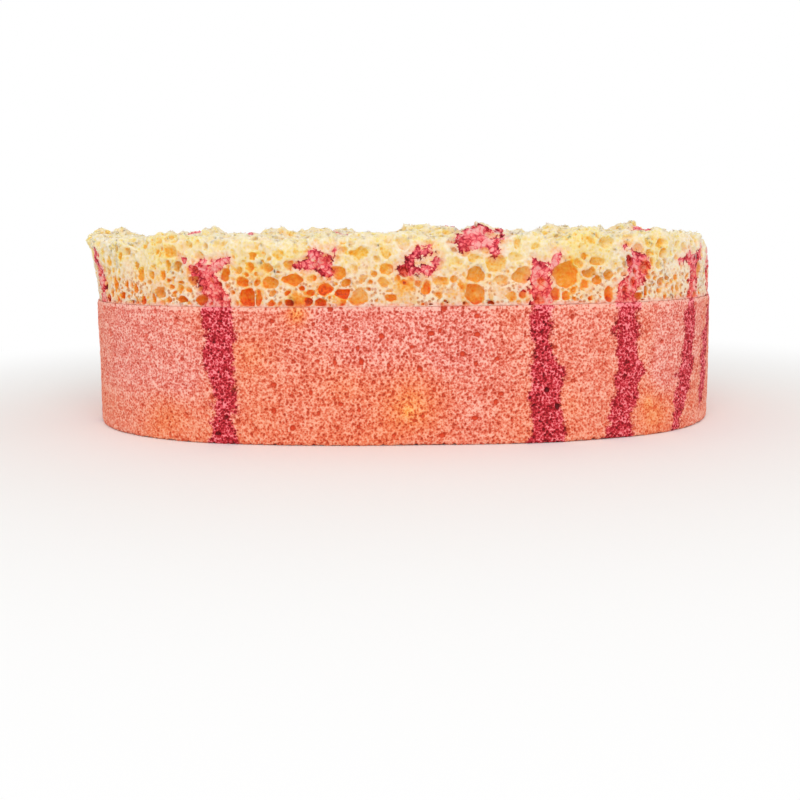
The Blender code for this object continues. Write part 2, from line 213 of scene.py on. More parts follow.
# Crimson streaks in the coarse foam: each a path on its wall, as places round the front from its middle, heights and
# the streak's radius there.
COARSE_STREAKS = (
    ((-75.5, 37.8, 1.8), (-74.8, 36.0, 2.3), (-73.6, 33.5, 2.3), (-72.2, 30.5, 2.0), (-70.8, 27.5, 1.7)),
    ((-37.0, 27.0, 2.9), (-37.7, 30.1, 2.2), (-39.2, 32.8, 2.1), (-40.6, 34.6, 1.9), (-42.4, 35.4, 0.9),
     (-44.4, 36.8, 0.5)),
    ((-39.2, 34.0, 1.2), (-37.9, 34.8, 0.9), (-36.6, 36.2, 0.7), (-35.0, 36.5, 0.4)),
    ((-20.4, 35.3, 0.5), (-18.0, 35.6, 0.7), (-15.6, 35.6, 1.3), (-14.8, 34.1, 1.0)),
    ((-15.9, 35.6, 1.0), (-17.2, 37.4, 0.9), (-17.9, 38.0, 0.4)),
    ((-15.0, 35.4, 0.9), (-14.2, 37.0, 0.6), (-13.0, 38.4, 0.4)),
    ((-0.4, 34.4, 0.9), (0.8, 35.3, 1.1), (1.5, 37.2, 1.0), (3.2, 38.0, 1.0), (5.4, 37.8, 0.9), (6.2, 36.4, 1.0),
     (4.9, 34.8, 1.1), (2.6, 34.3, 1.1), (0.8, 34.2, 1.0)),
    ((11.6, 39.8, 1.7), (13.4, 40.8, 2.3), (16.2, 41.4, 2.5), (18.4, 41.6, 1.8)),
    ((16.6, 40.4, 1.6), (17.6, 39.2, 1.4), (17.6, 37.8, 1.0)),
    ((27.0, 27.0, 2.4), (26.9, 29.6, 2.0), (26.7, 31.7, 2.1), (26.6, 34.2, 1.9), (25.2, 35.8, 0.8)),
    ((27.4, 33.8, 1.4), (29.2, 35.4, 0.8), (30.3, 36.9, 0.6)),
    ((25.6, 31.0, 0.9), (23.6, 30.4, 0.4)),
    ((45.4, 27.0, 2.7), (44.9, 29.6, 2.0), (46.9, 31.7, 1.6), (47.8, 34.6, 2.4), (46.9, 36.9, 1.2), (45.2, 38.3, 0.6)),
    ((64.6, 26.9, 2.6), (65.0, 29.5, 1.8), (65.4, 32.0, 1.6), (65.6, 35.0, 1.4), (67.5, 36.6, 1.1), (69.8, 38.2, 0.8)),
    ((65.5, 35.6, 1.0), (63.0, 36.2, 0.8), (60.6, 35.4, 0.7)),
    ((76.0, 39.0, 1.2), (77.0, 35.0, 1.8), (76.6, 31.0, 2.1), (76.5, 27.0, 2.3)),
    ((142.0, 27.0, 2.4), (141.0, 31.0, 1.8), (143.5, 34.5, 1.5), (141.5, 37.5, 1.0), (144.5, 40.0, 0.6)),
    ((193.0, 27.0, 2.5), (192.0, 31.5, 1.9), (194.5, 35.5, 1.2), (191.0, 38.0, 0.7)),
    ((-150.0, 27.0, 2.3), (-149.0, 31.0, 1.9), (-151.5, 34.0, 1.4), (-148.5, 37.0, 0.8)),
    ((-113.0, 27.0, 1.9), (-112.0, 31.0, 1.2), (-114.0, 35.0, 0.6)),
)

# Crimson streaks across the torn top: each a path, as x, y and the streak's radius there.
TOP_STREAKS = (
    ((-47.0, -24.0, 1.0), (-45.0, -20.0, 2.4), (-41.0, -16.0, 1.3), (-39.5, -11.0, 0.6)),
    ((-42.0, 20.0, 0.8), (-39.0, 14.0, 1.9), (-35.0, 8.0, 2.3), (-33.0, 4.0, 0.7)),
    ((-20.0, 40.0, 0.7), (-18.5, 31.0, 2.2), (-16.0, 26.0, 1.2), (-11.0, 23.0, 0.5)),
    ((-15.0, -18.0, 0.6), (-12.0, -13.0, 1.7), (-7.0, -11.0, 0.7)),
    ((3.0, 2.0, 0.5), (7.0, 6.0, 1.9), (12.0, 8.0, 2.3), (15.0, 13.0, 0.8)),
    ((13.0, -44.0, 2.0), (15.0, -41.5, 3.0), (19.0, -38.0, 1.6), (20.0, -33.0, 0.6)),
    ((26.0, 44.0, 1.6), (25.0, 36.0, 1.4), (22.0, 30.0, 2.2), (24.0, 25.0, 0.6)),
    ((29.0, -25.0, 0.6), (31.0, -19.0, 2.1), (35.0, -15.0, 0.9)),
    ((43.0, 2.0, 0.6), (47.0, 5.0, 2.2), (52.0, 4.0, 1.2), (56.0, 8.0, 0.5)),
    ((47.0, -34.0, 0.7), (51.0, -29.0, 1.8), (57.0, -27.0, 1.0)),
    ((-60.0, 6.0, 1.6), (-55.0, 3.0, 0.9), (-52.0, -2.0, 0.5)),
    ((0.0, 42.0, 0.6), (3.0, 37.0, 1.5), (2.0, 32.0, 0.5)),
)

# Places on the coarse foam's wall where soap shows through between the pores: place round the front, height, radius
# and how much more. The one at 0.4, under the ring of dye, also stands for painted shadow there, and the one at 68,
# which takes warmth away, paints the top paler as painted light where the wall turns from the lamp.
COARSE_SOAP_PATCHES = (
    (-20.8, 28.4, 1.9, 0.50), (0.4, 31.6, 2.4, 0.30), (33.0, 32.5, 4.0, 0.16), (-29.5, 34.0, 4.0, 0.14),
    (14.0, 33.0, 3.5, 0.10), (47.6, 33.0, 1.6, 0.20), (-15.5, 29.5, 2.6, 0.16), (-56.0, 33.0, 5.0, 0.08),
    (118.0, 31.0, 4.0, 0.16), (168.0, 32.0, 4.5, 0.18), (-168.0, 30.0, 4.0, 0.20), (-126.0, 33.0, 4.0, 0.12),
    (-96.0, 30.0, 3.5, 0.18), (92.0, 31.0, 3.5, 0.14), (49.3, 34.8, 1.7, 0.50), (68.0, 36.0, 9.0, -0.10),
    (26.8, 30.8, 1.6, 0.40), (36.0, 38.6, 4.0, 0.14), (53.5, 38.6, 3.0, 0.14), (-48.0, 39.0, 4.5, 0.10),
    (6.0, 39.5, 3.0, 0.10), (-60.0, 39.0, 4.0, 0.06),
)

# Bands of crimson dye down the fine foam: at a few heights, the place of the band's middle round the front and its
# half width.
BODY_BANDS = (
    ((0.0, -35.9, 3.3), (5.0, -36.2, 2.5), (9.0, -36.0, 2.6), (13.0, -36.4, 2.7), (17.0, -36.6, 3.2),
     (22.0, -36.8, 2.8), (28.0, -37.0, 2.9)),
    ((0.0, 27.9, 3.8), (3.0, 27.8, 3.7), (7.0, 28.0, 3.3), (11.0, 27.8, 3.1), (15.0, 27.9, 2.9),
     (19.0, 27.3, 2.3), (23.0, 27.1, 2.0), (28.0, 26.9, 2.2)),
    ((0.0, 43.5, 3.3), (5.0, 44.4, 2.7), (8.0, 45.2, 3.1), (11.0, 45.6, 3.0), (13.0, 46.2, 3.7), (15.0, 45.8, 3.0),
     (19.0, 45.2, 2.5), (23.0, 45.1, 2.6), (28.0, 45.5, 2.7)),
    ((0.0, 58.6, 1.2), (3.0, 59.8, 1.5), (7.0, 61.2, 2.3), (12.0, 62.2, 2.6), (17.0, 63.3, 2.3), (23.0, 64.1, 2.1),
     (28.0, 64.4, 1.9)),
    ((0.0, 69.0, -1.0), (5.0, 70.0, 0.7), (10.0, 71.5, 1.9), (15.0, 72.3, 2.5), (20.0, 73.8, 2.4), (24.0, 76.6, 2.2),
     (28.0, 78.5, 2.4)),
    ((0.0, -80.6, 2.4), (6.0, -84.0, 2.0), (14.0, -88.0, 2.4), (28.0, -90.0, 2.2)),
    ((0.0, -113.0, 2.6), (12.0, -111.5, 3.2), (28.0, -113.0, 2.0)),
    ((0.0, -148.0, 3.4), (9.0, -150.5, 2.6), (18.0, -149.0, 3.4), (28.0, -150.0, 2.5)),
    ((0.0, 191.0, 3.0), (10.0, 193.5, 3.6), (20.0, 192.0, 2.6), (28.0, 193.0, 3.0)),
    ((0.0, 144.0, 2.4), (8.0, 141.5, 3.4), (18.0, 143.5, 2.6), (28.0, 142.0, 3.0)),
)

# How far at most the bands run in under the base, in millimetres.
BAND_RUN_IN = 16.0

# Patches of the fine foam's wall where soap shows through, or where it is dry and pale: place round the front, height,
# radius and how much more soap shows.
SOAP_PATCHES = (
    (1.5, 8.0, 6.5, 0.75), (0.6, 6.8, 1.1, 0.45), (-50.0, 4.5, 6.0, 0.45), (53.0, 4.5, 6.0, 0.6),
    (50.5, 7.0, 1.4, 0.25), (-20.8, 26.2, 2.2, 1.15), (33.0, 7.0, 3.0, 0.3), (-31.0, 18.0, 4.0, 0.3),
    (-46.0, 14.0, 6.0, -0.6), (56.5, 13.0, 5.0, -0.7), (8.0, 22.0, 9.0, -0.3), (-12.0, 12.0, 5.0, 0.3),
    (-59.0, 17.0, 13.0, -0.5), (61.0, 20.0, 9.0, -0.5),
    (118.0, 9.0, 7.0, 0.6), (170.0, 12.0, 8.0, 0.5), (-170.0, 7.0, 7.0, 0.6), (-128.0, 17.0, 7.0, -0.6),
)

# How finely the fine foam is divided, the rounding of its lower edge, and how far in the base's grid starts.
BODY_COLUMNS = 2000
BASE_COLUMNS_X = 284
BASE_COLUMNS_Y = 216
SIDE_ROW = 0.00020
BASE_RASTER = 0.0002
BODY_EDGE_ROUND = 0.0008
BASE_INSET = 0.0006

# The fine foam's pores: spacing, radius from and radius to in millimetres, and the share of them that is kept. Then the
# depth that stands for 1 in a pit's value, the shares of a pit's depth by which it sinks the wall, the foot and the
# base, and how far the wall swells between pits.
FINE_PORES = ((0.95, 0.19, 0.33, 0.85), (4.6, 0.38, 0.60, 0.70))
FINE_PORE_SEED = 41
PIT_SCALE = 0.00055
PIT_SHARE_WALL = 0.75
PIT_SHARE_FOOT = 0.4
PIT_SHARE_BASE = 0.8
WALL_SWELL = 0.00010

# The wall's profile: at its foot, as shares of the edge's radius in and up, and the thin lip beside the coarse foam, as
# how far in and how far over the body's top.
FOOT_PROFILE = ((1.0, 0.0), (0.55, 0.1), (0.25, 0.32), (0.06, 0.64))
LIP_PROFILE = (
    (-0.00008, 0.00002), (-0.00008, 0.00014), (-0.00002, 0.00015), (0.0, 0.00006), (0.0005, 0.00006), (0.0009, 0.0),
)

# The lid's rings: the share of the way from the wall to the pocket's outline, the level and the outline's scale. Each
# of the first few has half as many points as the one before.
LID_STATIONS = (
    (0.05, BODY_TOP, 1.0), (0.12, BODY_TOP, 1.0), (0.28, BODY_TOP, 1.0), (0.6, BODY_TOP, 1.0), (1.0, BODY_TOP, 1.0),
    (1.0, 0.020, 1.0), (1.0, 0.014, 1.0), (1.0, POCKET_FLOOR + POCKET_ROUND, 1.0), (1.0, POCKET_FLOOR, 0.96),
    (1.0, POCKET_FLOOR, 0.66), (1.0, POCKET_FLOOR, 0.33),
)
LID_HALVINGS = 4

# The fine foam's UV map, laid out in metres on a square and then shrunk to 1.
MAP_WIDTH = 0.216
MAP_MARGIN = 0.0015
MAP_STRIPS = 4
MAP_STRIP_PITCH = 0.0288
MAP_BASE_CORNER = (0.002, 0.1175)
MAP_LID_CORNER = (0.103, 0.004)
MAP_LID_SHRINK = 0.78

# The paper's half width, how far it lies under the sponge and where it fades to white. The lamp's place, its aim and
# its size.
FLOOR_HALF = 3.0
FLOOR_DROP = 0.00002
FLOOR_FADE = (0.085, 0.19)
LAMP_PLACE = (0.02, -0.5, 0.46)
LAMP_AIM = (0.0, 0.0, 0.02)
LAMP_SIZE = (0.5, 0.4)

# The camera fitted to the photograph: its place, its turn in degrees, and its lens and film in millimetres.
CAMERA_PLACE = (-0.0008, -0.245, 0.0419)
CAMERA_TURN = (90.0 - 5.6, 0.52, -0.04)
CAMERA_LENS = 45.7
CAMERA_FILM = 36.0
CAMERA_SHIFT = -0.0865


def linear(hex_colour):
    """The linear red, green, blue and alpha of an sRGB hex colour, by the sRGB curve."""
    channels = np.array([int(hex_colour[i:i + 2], 16) for i in (1, 3, 5)]) / 255.0
    curved = np.where(channels <= 0.04045, channels / 12.92, ((channels + 0.055) / 1.055) ** 2.4)
    return (*curved.tolist(), 1.0)


def fill_inputs(tree, node, inputs):
    """Gives each input a value, or a link where the value is an output, or a node and so its first output in use."""
    for name, value in inputs.items():
        if isinstance(value, bpy.types.Node):
            value = next(output for output in value.outputs if output.enabled)
        if isinstance(value, bpy.types.NodeSocket):
            tree.links.new(value, node.inputs[name])
        else:
            node.inputs[name].default_value = value


def add_node(tree, kind, inputs=None, stops=(), **settings):
    """Adds one shader node with its settings and inputs. Stops are a colour ramp's places, each with its hex colour."""
    node = tree.nodes.new("ShaderNode" + kind)
    for name, value in settings.items():
        setattr(node, name, value)
    fill_inputs(tree, node, inputs or {})
    if stops:
        elements = node.color_ramp.elements
        while len(elements) < len(stops):
            elements.new(1.0)
        for element, (place, colour) in zip(elements, stops):
            element.position = place
            element.color = linear(colour)
    return node


def blank_material(name):
    """A new material, add_node for its tree, and its Principled shader."""
    material = bpy.data.materials.new(name)
    material.use_nodes = True
    tree = material.node_tree
    return material, functools.partial(add_node, tree), tree.nodes["Principled BSDF"]


def outline_points(length, width, count):
    """Points evenly spaced round |x/a|^n + |y/b|^n = 1, from the +X end and over the +Y side, and the length round."""
    turn = np.linspace(0.0, 2.0 * math.pi, OUTLINE_STEPS + 1)
    power = 2.0 / PLAN_EXPONENT
    x = length / 2 * np.sign(np.cos(turn)) * np.abs(np.cos(turn)) ** power
    y = width / 2 * np.sign(np.sin(turn)) * np.abs(np.sin(turn)) ** power
    walked = np.concatenate([[0.0], np.cumsum(np.hypot(np.diff(x), np.diff(y)))])
    stops = np.arange(count) / count * walked[-1]
    return np.stack([np.interp(stops, walked, x), np.interp(stops, walked, y)], axis=1), walked[-1]


def outward(outline):
    """The outward normal at each point of a closed outline that runs counter-clockwise."""
    along = np.roll(outline, -1, axis=0) - np.roll(outline, 1, axis=0)
    normal = np.stack([along[:, 1], -along[:, 0]], axis=1)
    return normal / np.linalg.norm(normal, axis=1, keepdims=True)


OUTLINE, PERIMETER = outline_points(SPONGE_LENGTH, SPONGE_WIDTH, OUTLINE_COUNT)
OUTLINE_NORMALS = outward(OUTLINE)


def superellipse_angle(plan):
    """The superellipse's own angle at each point of a plan."""
    half = PLAN_EXPONENT / 2
    x, y = plan[:, 0] / (SPONGE_LENGTH / 2), plan[:, 1] / (SPONGE_WIDTH / 2)
    return np.arctan2(np.sign(y) * np.abs(y) ** half, np.sign(x) * np.abs(x) ** half)


def from_front(share):
    """How far from the front's middle towards +X a share of the way round from the +X end lies."""
    return ((share - FRONT_SHARE + 0.5) % 1.0 - 0.5) * PERIMETER


def places_round(points):
    """How far round the outline, in millimetres from the front's middle towards +X, each point's nearest wall lies."""
    table = np.append(np.unwrap(superellipse_angle(OUTLINE)), 2.0 * math.pi)
    angle = superellipse_angle(points) % (2.0 * math.pi)
    return from_front(np.interp(angle, table, np.linspace(0.0, 1.0, OUTLINE_COUNT + 1))) / MM


def wall_points(places, heights, inset=0.0):
    """Points on the wall at places round the front and heights in millimetres, set in by an inset in metres."""
    at = (np.asarray(places) * MM / PERIMETER + FRONT_SHARE) % 1.0 * OUTLINE_COUNT
    low = at.astype(int) % OUTLINE_COUNT
    part = (at - np.floor(at))[:, None]
    plan = OUTLINE[low] * (1 - part) + OUTLINE[(low + 1) % OUTLINE_COUNT] * part
    return np.column_stack([plan - OUTLINE_NORMALS[low] * inset, np.asarray(heights) * MM])


def share_up(height):
    """A height as a share of the coarse foam's: 0 at its bottom and 1 at its mean top."""
    return (height - COARSE_BOTTOM) / (COARSE_MEAN_TOP - COARSE_BOTTOM)


def lattice_noise(shape, cells, seed):
    """Random values from -1 to 1 on a coarse lattice, blended along each axis by the smoothstep curve."""
    values = np.random.default_rng(seed).uniform(-1.0, 1.0, [count + 2 for count in cells]).astype(np.float32)
    for axis, (size, count) in enumerate(zip(shape, cells)):
        place = np.linspace(0.0, count, size, endpoint=False)
        low = place.astype(int)
        part = place - low
        part = (part * part * (3.0 - 2.0 * part)).astype(np.float32)
        part = part.reshape([-1] + [1] * (values.ndim - 1))
        values = np.moveaxis(values, axis, 0)
        values = values[low] * (1 - part) + values[low + 1] * part
        values = np.moveaxis(values, 0, axis)
    return values


def noise_at(points, pitch, seed):
    """Noise from -1 to 1 at points: random values on a lattice of that pitch, blended by the smoothstep curve."""
    low = points.min(axis=0) - pitch
    count = ((points.max(axis=0) - low) / pitch).astype(int) + 2
    table = np.random.default_rng(seed).uniform(-1.0, 1.0, count + 1).astype(np.float32)
    place = (points - low) / pitch
    cell = place.astype(int)
    part = place - cell
    part = part * part * (3.0 - 2.0 * part)
    total = np.zeros(len(points), np.float32)
    for corner in itertools.product((0, 1), repeat=points.shape[1]):
        weight = np.prod(np.where(corner, part, 1.0 - part), axis=1)
        total += weight * table[tuple((cell + corner).T)]
    return total


def noises_at(points, layers):
    """The sum of noise at several sizes at points: each layer's rise, the pitch of its lattice and its seed."""
    return sum(rise * noise_at(points, pitch, seed) for rise, pitch, seed in layers)


def add_patches(values, points, patches):
    """Adds soft round patches to the values at points: each its place on the wall, its height, radius and rise."""
    for place, height, radius, rise in patches:
        apart = np.linalg.norm(points - wall_points([place], [height])[0], axis=1) / (radius * MM)
        values += rise * np.exp(-apart * apart)


def smooth_step(low, high, value):
    """0 below low and 1 above high, with the smoothstep curve between."""
    part = np.clip((value - low) / (high - low), 0.0, 1.0)
    return part * part * (3.0 - 2.0 * part)


def smooth_max(a, b, width):
    """The larger of two fields, with the crease between them filled over a width."""
    near = np.maximum(width - np.abs(a - b), 0.0)
    return np.maximum(a, b) + near * near / (4.0 * width)


def add_mesh(name, points, faces, material, smooth=True):
    """An object of points and arrays of faces, each array with its own number of corners.

    Smooth is one choice for all faces or a choice for each.
    """
    mesh = bpy.data.meshes.new(name)
    corners = np.concatenate([array.ravel() for array in faces]).astype(np.int32)
    sizes = np.concatenate([np.full(len(array), array.shape[1]) for array in faces])
    starts = np.concatenate([[0], np.cumsum(sizes)[:-1]]).astype(np.int32)
    mesh.vertices.add(len(points))
    mesh.vertices.foreach_set("co", np.ascontiguousarray(points, np.float32).ravel())
    mesh.loops.add(len(corners))
    mesh.loops.foreach_set("vertex_index", corners)
    mesh.polygons.add(len(sizes))
    mesh.polygons.foreach_set("loop_start", starts)
    mesh.polygons.foreach_set("use_smooth", np.full(len(sizes), smooth))
    mesh.update(calc_edges=True)
    mesh.materials.append(material)
    thing = bpy.data.objects.new(name, mesh)
    bpy.context.collection.objects.link(thing)
    return thing


def sharpen_round(thing, chosen):
    """Makes every edge between a chosen face and another face sharp."""
    mesh = thing.data
    edge = np.empty(len(mesh.loops), np.int32)
    mesh.loops.foreach_get("edge_index", edge)
    corners = np.empty(len(mesh.polygons), np.int32)
    mesh.polygons.foreach_get("loop_total", corners)
    beside = np.bincount(edge, weights=np.repeat(chosen, corners), minlength=len(mesh.edges))
    sharp = mesh.attributes.new("sharp_edge", "BOOLEAN", "EDGE")
    sharp.data.foreach_set("value", beside == 1)


def add_values(thing, **values):
    """Stores a number for each vertex under each name, for the material to read."""
    for name, array in values.items():
        attribute = thing.data.attributes.new(name, "FLOAT", "POINT")
        attribute.data.foreach_set("value", np.ascontiguousarray(array, np.float32))


def add_map(thing, places):
    """Stores the UV map that a baked picture of the finish is to use, one place for each face corner."""
    layer = thing.data.uv_layers.new(name="OFBake")
    layer.uv.foreach_set("vector", np.ascontiguousarray(places, np.float32).ravel())


def lumps():
    """Each lump of the torn top as its x, its y and its rise, drawn as in the CAD solid."""
    placed = []
    for share, rise in FRONT_RIM_LUMPS:
        x = share * (SPONGE_LENGTH / 2 - FRONT_LUMP_SETBACK)
        reach = np.clip(abs(x) / (SPONGE_LENGTH / 2), 0.0, 1.0)
        edge = SPONGE_WIDTH / 2 * (1.0 - reach**PLAN_EXPONENT) ** (1.0 / PLAN_EXPONENT)
        placed.append((x, FRONT_LUMP_SETBACK - edge, rise))
    front = np.array(placed)
    columns = int(SPONGE_LENGTH / LUMP_PITCH) + 1
    rows = int(SPONGE_WIDTH / LUMP_PITCH) + 1
    draw = np.random.default_rng(LUMP_SEED)
    for row, column in itertools.product(range(rows), range(columns)):
        shift_x, shift_y, height = draw.uniform(-0.5, 0.5, 3)
        x = (column - (columns - 1) / 2 + LUMP_SHAKE * shift_x) * LUMP_PITCH
        y = (row - (rows - 1) / 2 + LUMP_SHAKE * shift_y) * LUMP_PITCH
        rise = height * (LUMP_RISE + LUMP_DIP) + (LUMP_RISE - LUMP_DIP) / 2
        if np.hypot(front[:, 0] - x, front[:, 1] - y).min() > LUMP_PITCH * FRONT_LUMP_CLEARANCE:
            placed.append((x, y, rise))
    return placed


def torn_top(x, y):
    """The height of the torn top on a plan: the mean top and a bell for each lump."""
    top = np.full(np.broadcast(x, y).shape, COARSE_MEAN_TOP, np.float32)
    for lump_x, lump_y, rise in lumps():
        apart = (x - lump_x) ** 2 + (y - lump_y) ** 2
        top += rise * np.exp(-0.5 * apart / LUMP_SPREAD**2)
    return top


def wall_distance(x, y):
    """How far outside the superellipse each point of a plan is: its excess over 1 divided by its gradient."""
    a, b, n = SPONGE_LENGTH / 2, SPONGE_WIDTH / 2, PLAN_EXPONENT
    across, deep = np.abs(x) / a, np.abs(y) / b
    reach = np.maximum(across**n + deep**n, 1e-6) ** (1.0 / n)
    slope = np.hypot(across ** (n - 1) / a, deep ** (n - 1) / b) * reach ** (1.0 - n)
    return (reach - 1.0) / np.maximum(slope, 1e-3)


class FoamGrid:
    """A cubic grid of samples round the coarse foam, with its envelope and its nearest pore at each sample."""

    def __init__(self, pitch):
        self.pitch = pitch
        self.low = np.array(GRID_LOW)
        self.shape = tuple(((np.array(GRID_HIGH) - self.low) / pitch).astype(int) + 1)
        self.lines = [
            (low + pitch * np.arange(count)).astype(np.float32) for low, count in zip(self.low, self.shape)
        ]
        self.axes = np.meshgrid(*self.lines, indexing="ij", sparse=True)
        self.envelope = self.make_envelope()
        self.pore = np.full(self.shape, FAR, np.float32)
        self.next_pore = self.pore.copy()
        self.soap = np.full(self.shape, SOAP_BETWEEN_PORES, np.float32)
        self.warp = [self.noise([(rise, size, seed + axis) for rise, size, seed in PORE_WARP]) for axis in range(3)]

    def noise(self, layers):
        """The sum of noise at several sizes: each layer's rise, the size of its cells and its seed."""
        total = np.zeros(self.shape, np.float32)
        for rise, size, seed in layers:
            cells = [max(int(count * self.pitch / size), 1) for count in self.shape]
            total += rise * lattice_noise(self.shape, cells, seed)
        return total

    def make_envelope(self):
        """The distance outside the foam as if it had no pores.

        It is the smooth maximum of the distances outside the leaning wall, the torn top and the stepped bottom, made
        uneven by noise at three sizes.
        """
        x, y, z = self.axes[0][:, :, 0], self.axes[1][:, :, 0], self.axes[2]
        wall = wall_distance(x, y).astype(np.float32)
        top = torn_top(x, y)
        along = np.broadcast_to(x / (SPONGE_LENGTH / 2), wall.shape)
        lean = np.clip(-along, 0, 1) ** END_LEAN_SHARPNESS * LEFT_END_FLARE
        lean = lean - np.clip(along, 0, 1) ** END_LEAN_SHARPNESS * RIGHT_END_DRAW
        up = np.clip((z - COARSE_BOTTOM) / (top - RIM_ROUND - COARSE_BOTTOM)[:, :, None], 0.0, 1.1)
        crumbs = self.noise(CRUMBS)
        torn = smooth_step(0.15, 0.85, up)
        side = wall[:, :, None] - lean[:, :, None] * up**2 + crumbs * (0.30 + 0.75 * torn)
        over = 0.9 * (z - top[:, :, None] + CRUMB_LOSS) + crumbs * 1.5
        self.body = smooth_max(side, over, RIM_ROUND * 1.3)
        skirt = smooth_step(-SKIRT_WIDTH - 0.0003, -SKIRT_WIDTH, wall)
        bottom = COARSE_BOTTOM - (COARSE_BOTTOM - SKIRT_BOTTOM) * skirt
        inner_skirt = smooth_step(-SKIRT_WIDTH + 0.0003, -SKIRT_WIDTH + 0.0005, wall)
        self.pore_floor = COARSE_BOTTOM - (COARSE_BOTTOM - SKIRT_BOTTOM) * inner_skirt
        return np.maximum(self.body, bottom[:, :, None] - z)

    def index(self, points):
        """The grid place nearest each point."""
        place = np.rint((points - self.low) / self.pitch).astype(int)
        return tuple(np.clip(place, 0, np.array(self.shape) - 1).T)

    def facing(self, at):
        """The outward normal at some grid places: the slope of the body field there."""
        inner = [np.clip(place, 2, size - 3) for place, size in zip(at, self.shape)]
        slope = []
        for axis in range(3):
            ahead, behind = list(inner), list(inner)
            ahead[axis] = inner[axis] + 2
            behind[axis] = inner[axis] - 2
            slope.append(self.body[tuple(ahead)] - self.body[tuple(behind)])
        slope = np.stack(slope, axis=1)
        return slope / np.maximum(np.linalg.norm(slope, axis=1, keepdims=True), 1e-9)

    def blow(self, centre, radii, reach, soap):
        """Blows one pore: the distance outside a stretched, slightly warped sphere lowers the pore field near it."""
        size = radii.max() + reach
        first = np.maximum(((centre - size - self.low) / self.pitch).astype(int), 0)
        last = np.minimum(((centre + size - self.low) / self.pitch).astype(int) + 2, self.shape)
        block = tuple(slice(a, b) for a, b in zip(first, last))
        axes = np.meshgrid(*(line[part] for line, part in zip(self.lines, block)), indexing="ij", sparse=True)
        square = sum(
            ((axis + warp[block] - middle) / radius) ** 2
            for axis, warp, middle, radius in zip(axes, self.warp, centre, radii)
        )
        distance = (np.sqrt(square) - 1.0) * radii.mean()
        before = self.pore[block]
        nearer = distance < before
        np.minimum(self.next_pore[block], np.maximum(distance, before), out=self.next_pore[block])
        np.minimum(before, distance, out=self.pore[block])
        self.soap[block][nearer] = soap

    def blow_front(self):
        """Blows the pores that stand out on the front."""
        table = np.array(FRONT_PORES)
        openings = table[:, 2:4] * MM
        centres = wall_points(table[:, 0], table[:, 1])
        inward = wall_points(table[:, 0], table[:, 1], 1.0) - centres
        envelope = self.envelope[self.index(centres)]
        onto = np.clip(envelope, -FRONT_PORE_SHIFT, FRONT_PORE_SHIFT)
        # The upper ones are centred outside the wall, so that they are shallow.
        sunk = 0.08 - 0.34 * smooth_step(33.0, 38.0, table[:, 1])
        centres = centres + inward * (sunk * openings.mean(axis=1) + onto)[:, None]
        for centre, face, (along, upward), soap in zip(centres, np.abs(inward), openings, table[:, 4]):
            deep = PORE_DEPTH * (along + upward) / 2
            radii = np.array([along * face[1] + deep * face[0], along * face[0] + deep * face[1], upward])
            self.blow(centre, radii * 1.12 - 0.4 * PORE_GROWTH, 0.003, soap)

    def blow_random(self):
        """Blows pores of falling size wherever the ones before leave room, at random samples near the surface.

        Towards the torn top their centres lie further out, so that only shallow dimples are left of them.
        """
        draw = np.random.default_rng(PORE_SEED)
        above = self.axes[2] > self.pore_floor[:, :, None] + 0.00015
        near = np.flatnonzero((self.envelope > NEAR_SURFACE[0]) & (self.envelope < NEAR_SURFACE[1]) & above)
        for radius_low, radius_high, tries in PORE_CLASSES:
            at = np.unravel_index(draw.choice(near, tries), self.shape)
            centres = self.low + self.pitch * (np.stack(at, axis=1) + draw.uniform(-0.5, 0.5, (tries, 3)))
            radius = (radius_low + (radius_high - radius_low) * draw.random(tries) ** 1.6) * MM
            stretch = draw.uniform(*PORE_STRETCH, (tries, 3)) * (1.0 - (1.0 - PORE_DEPTH) * np.abs(self.facing(at)))
            gap = draw.uniform(*PORE_GAP, tries)
            height = np.clip(share_up(centres[:, 2]), 0.0, 1.0)
            torn = smooth_step(*TORN_HEIGHTS, height)
            soap = np.clip(0.74 - 0.66 * height + 0.5 * draw.uniform(-0.5, 0.8, tries), 0.05, 1.0)
            under = -self.envelope[at]
            highest = PORE_RISE + (PORE_RISE_TORN - PORE_RISE) * torn
            lowest = PORE_SINK * (1.0 - 0.8 * torn)
            fits = (under > -highest * radius) & (under < lowest * radius)
            fits &= centres[:, 2] > self.pore_floor[at[:2]] + 0.3 * radius
            fits &= self.pore[at] > radius + gap
            reach = (radius_high + 0.35) * MM
            for i in np.flatnonzero(fits):
                if self.pore[tuple(place[i] for place in at)] > radius[i] + gap[i]:
                    self.blow(centres[i], radius[i] * stretch[i], reach, soap[i])

    def foam(self):
        """The foam's own field, negative in its walls: the envelope less the pores, above a whole skin at its foot.

        Each pore swells until it is a wall's thickness from halfway to the next one, or by its growth at most.
        """
        wall = 0.5 * (CELL_WALL + self.noise([(CELL_WALL_SPREAD, 0.0015, 68)]))
        swollen = smooth_max(self.pore - PORE_GROWTH, wall - 0.5 * (self.next_pore - self.pore), 0.0002)
        skin = (self.pore_floor + SKIN_UNDER_PORES)[:, :, None] - self.axes[2]
        return smooth_max(self.envelope, -np.maximum(swollen, skin), 0.00025)


def reached(open_space, start, rounds=5):
    """Which open samples can be reached from the start, by sweeps both ways along each axis."""
    got = start & open_space
    for _ in range(rounds):
        for axis in range(3):
            ahead = np.moveaxis(got, axis, 0)
            free = np.moveaxis(open_space, axis, 0)
            for i in range(1, len(ahead)):
                ahead[i] |= ahead[i - 1] & free[i]
            for i in range(len(ahead) - 2, -1, -1):
                ahead[i] |= ahead[i + 1] & free[i]
    return got


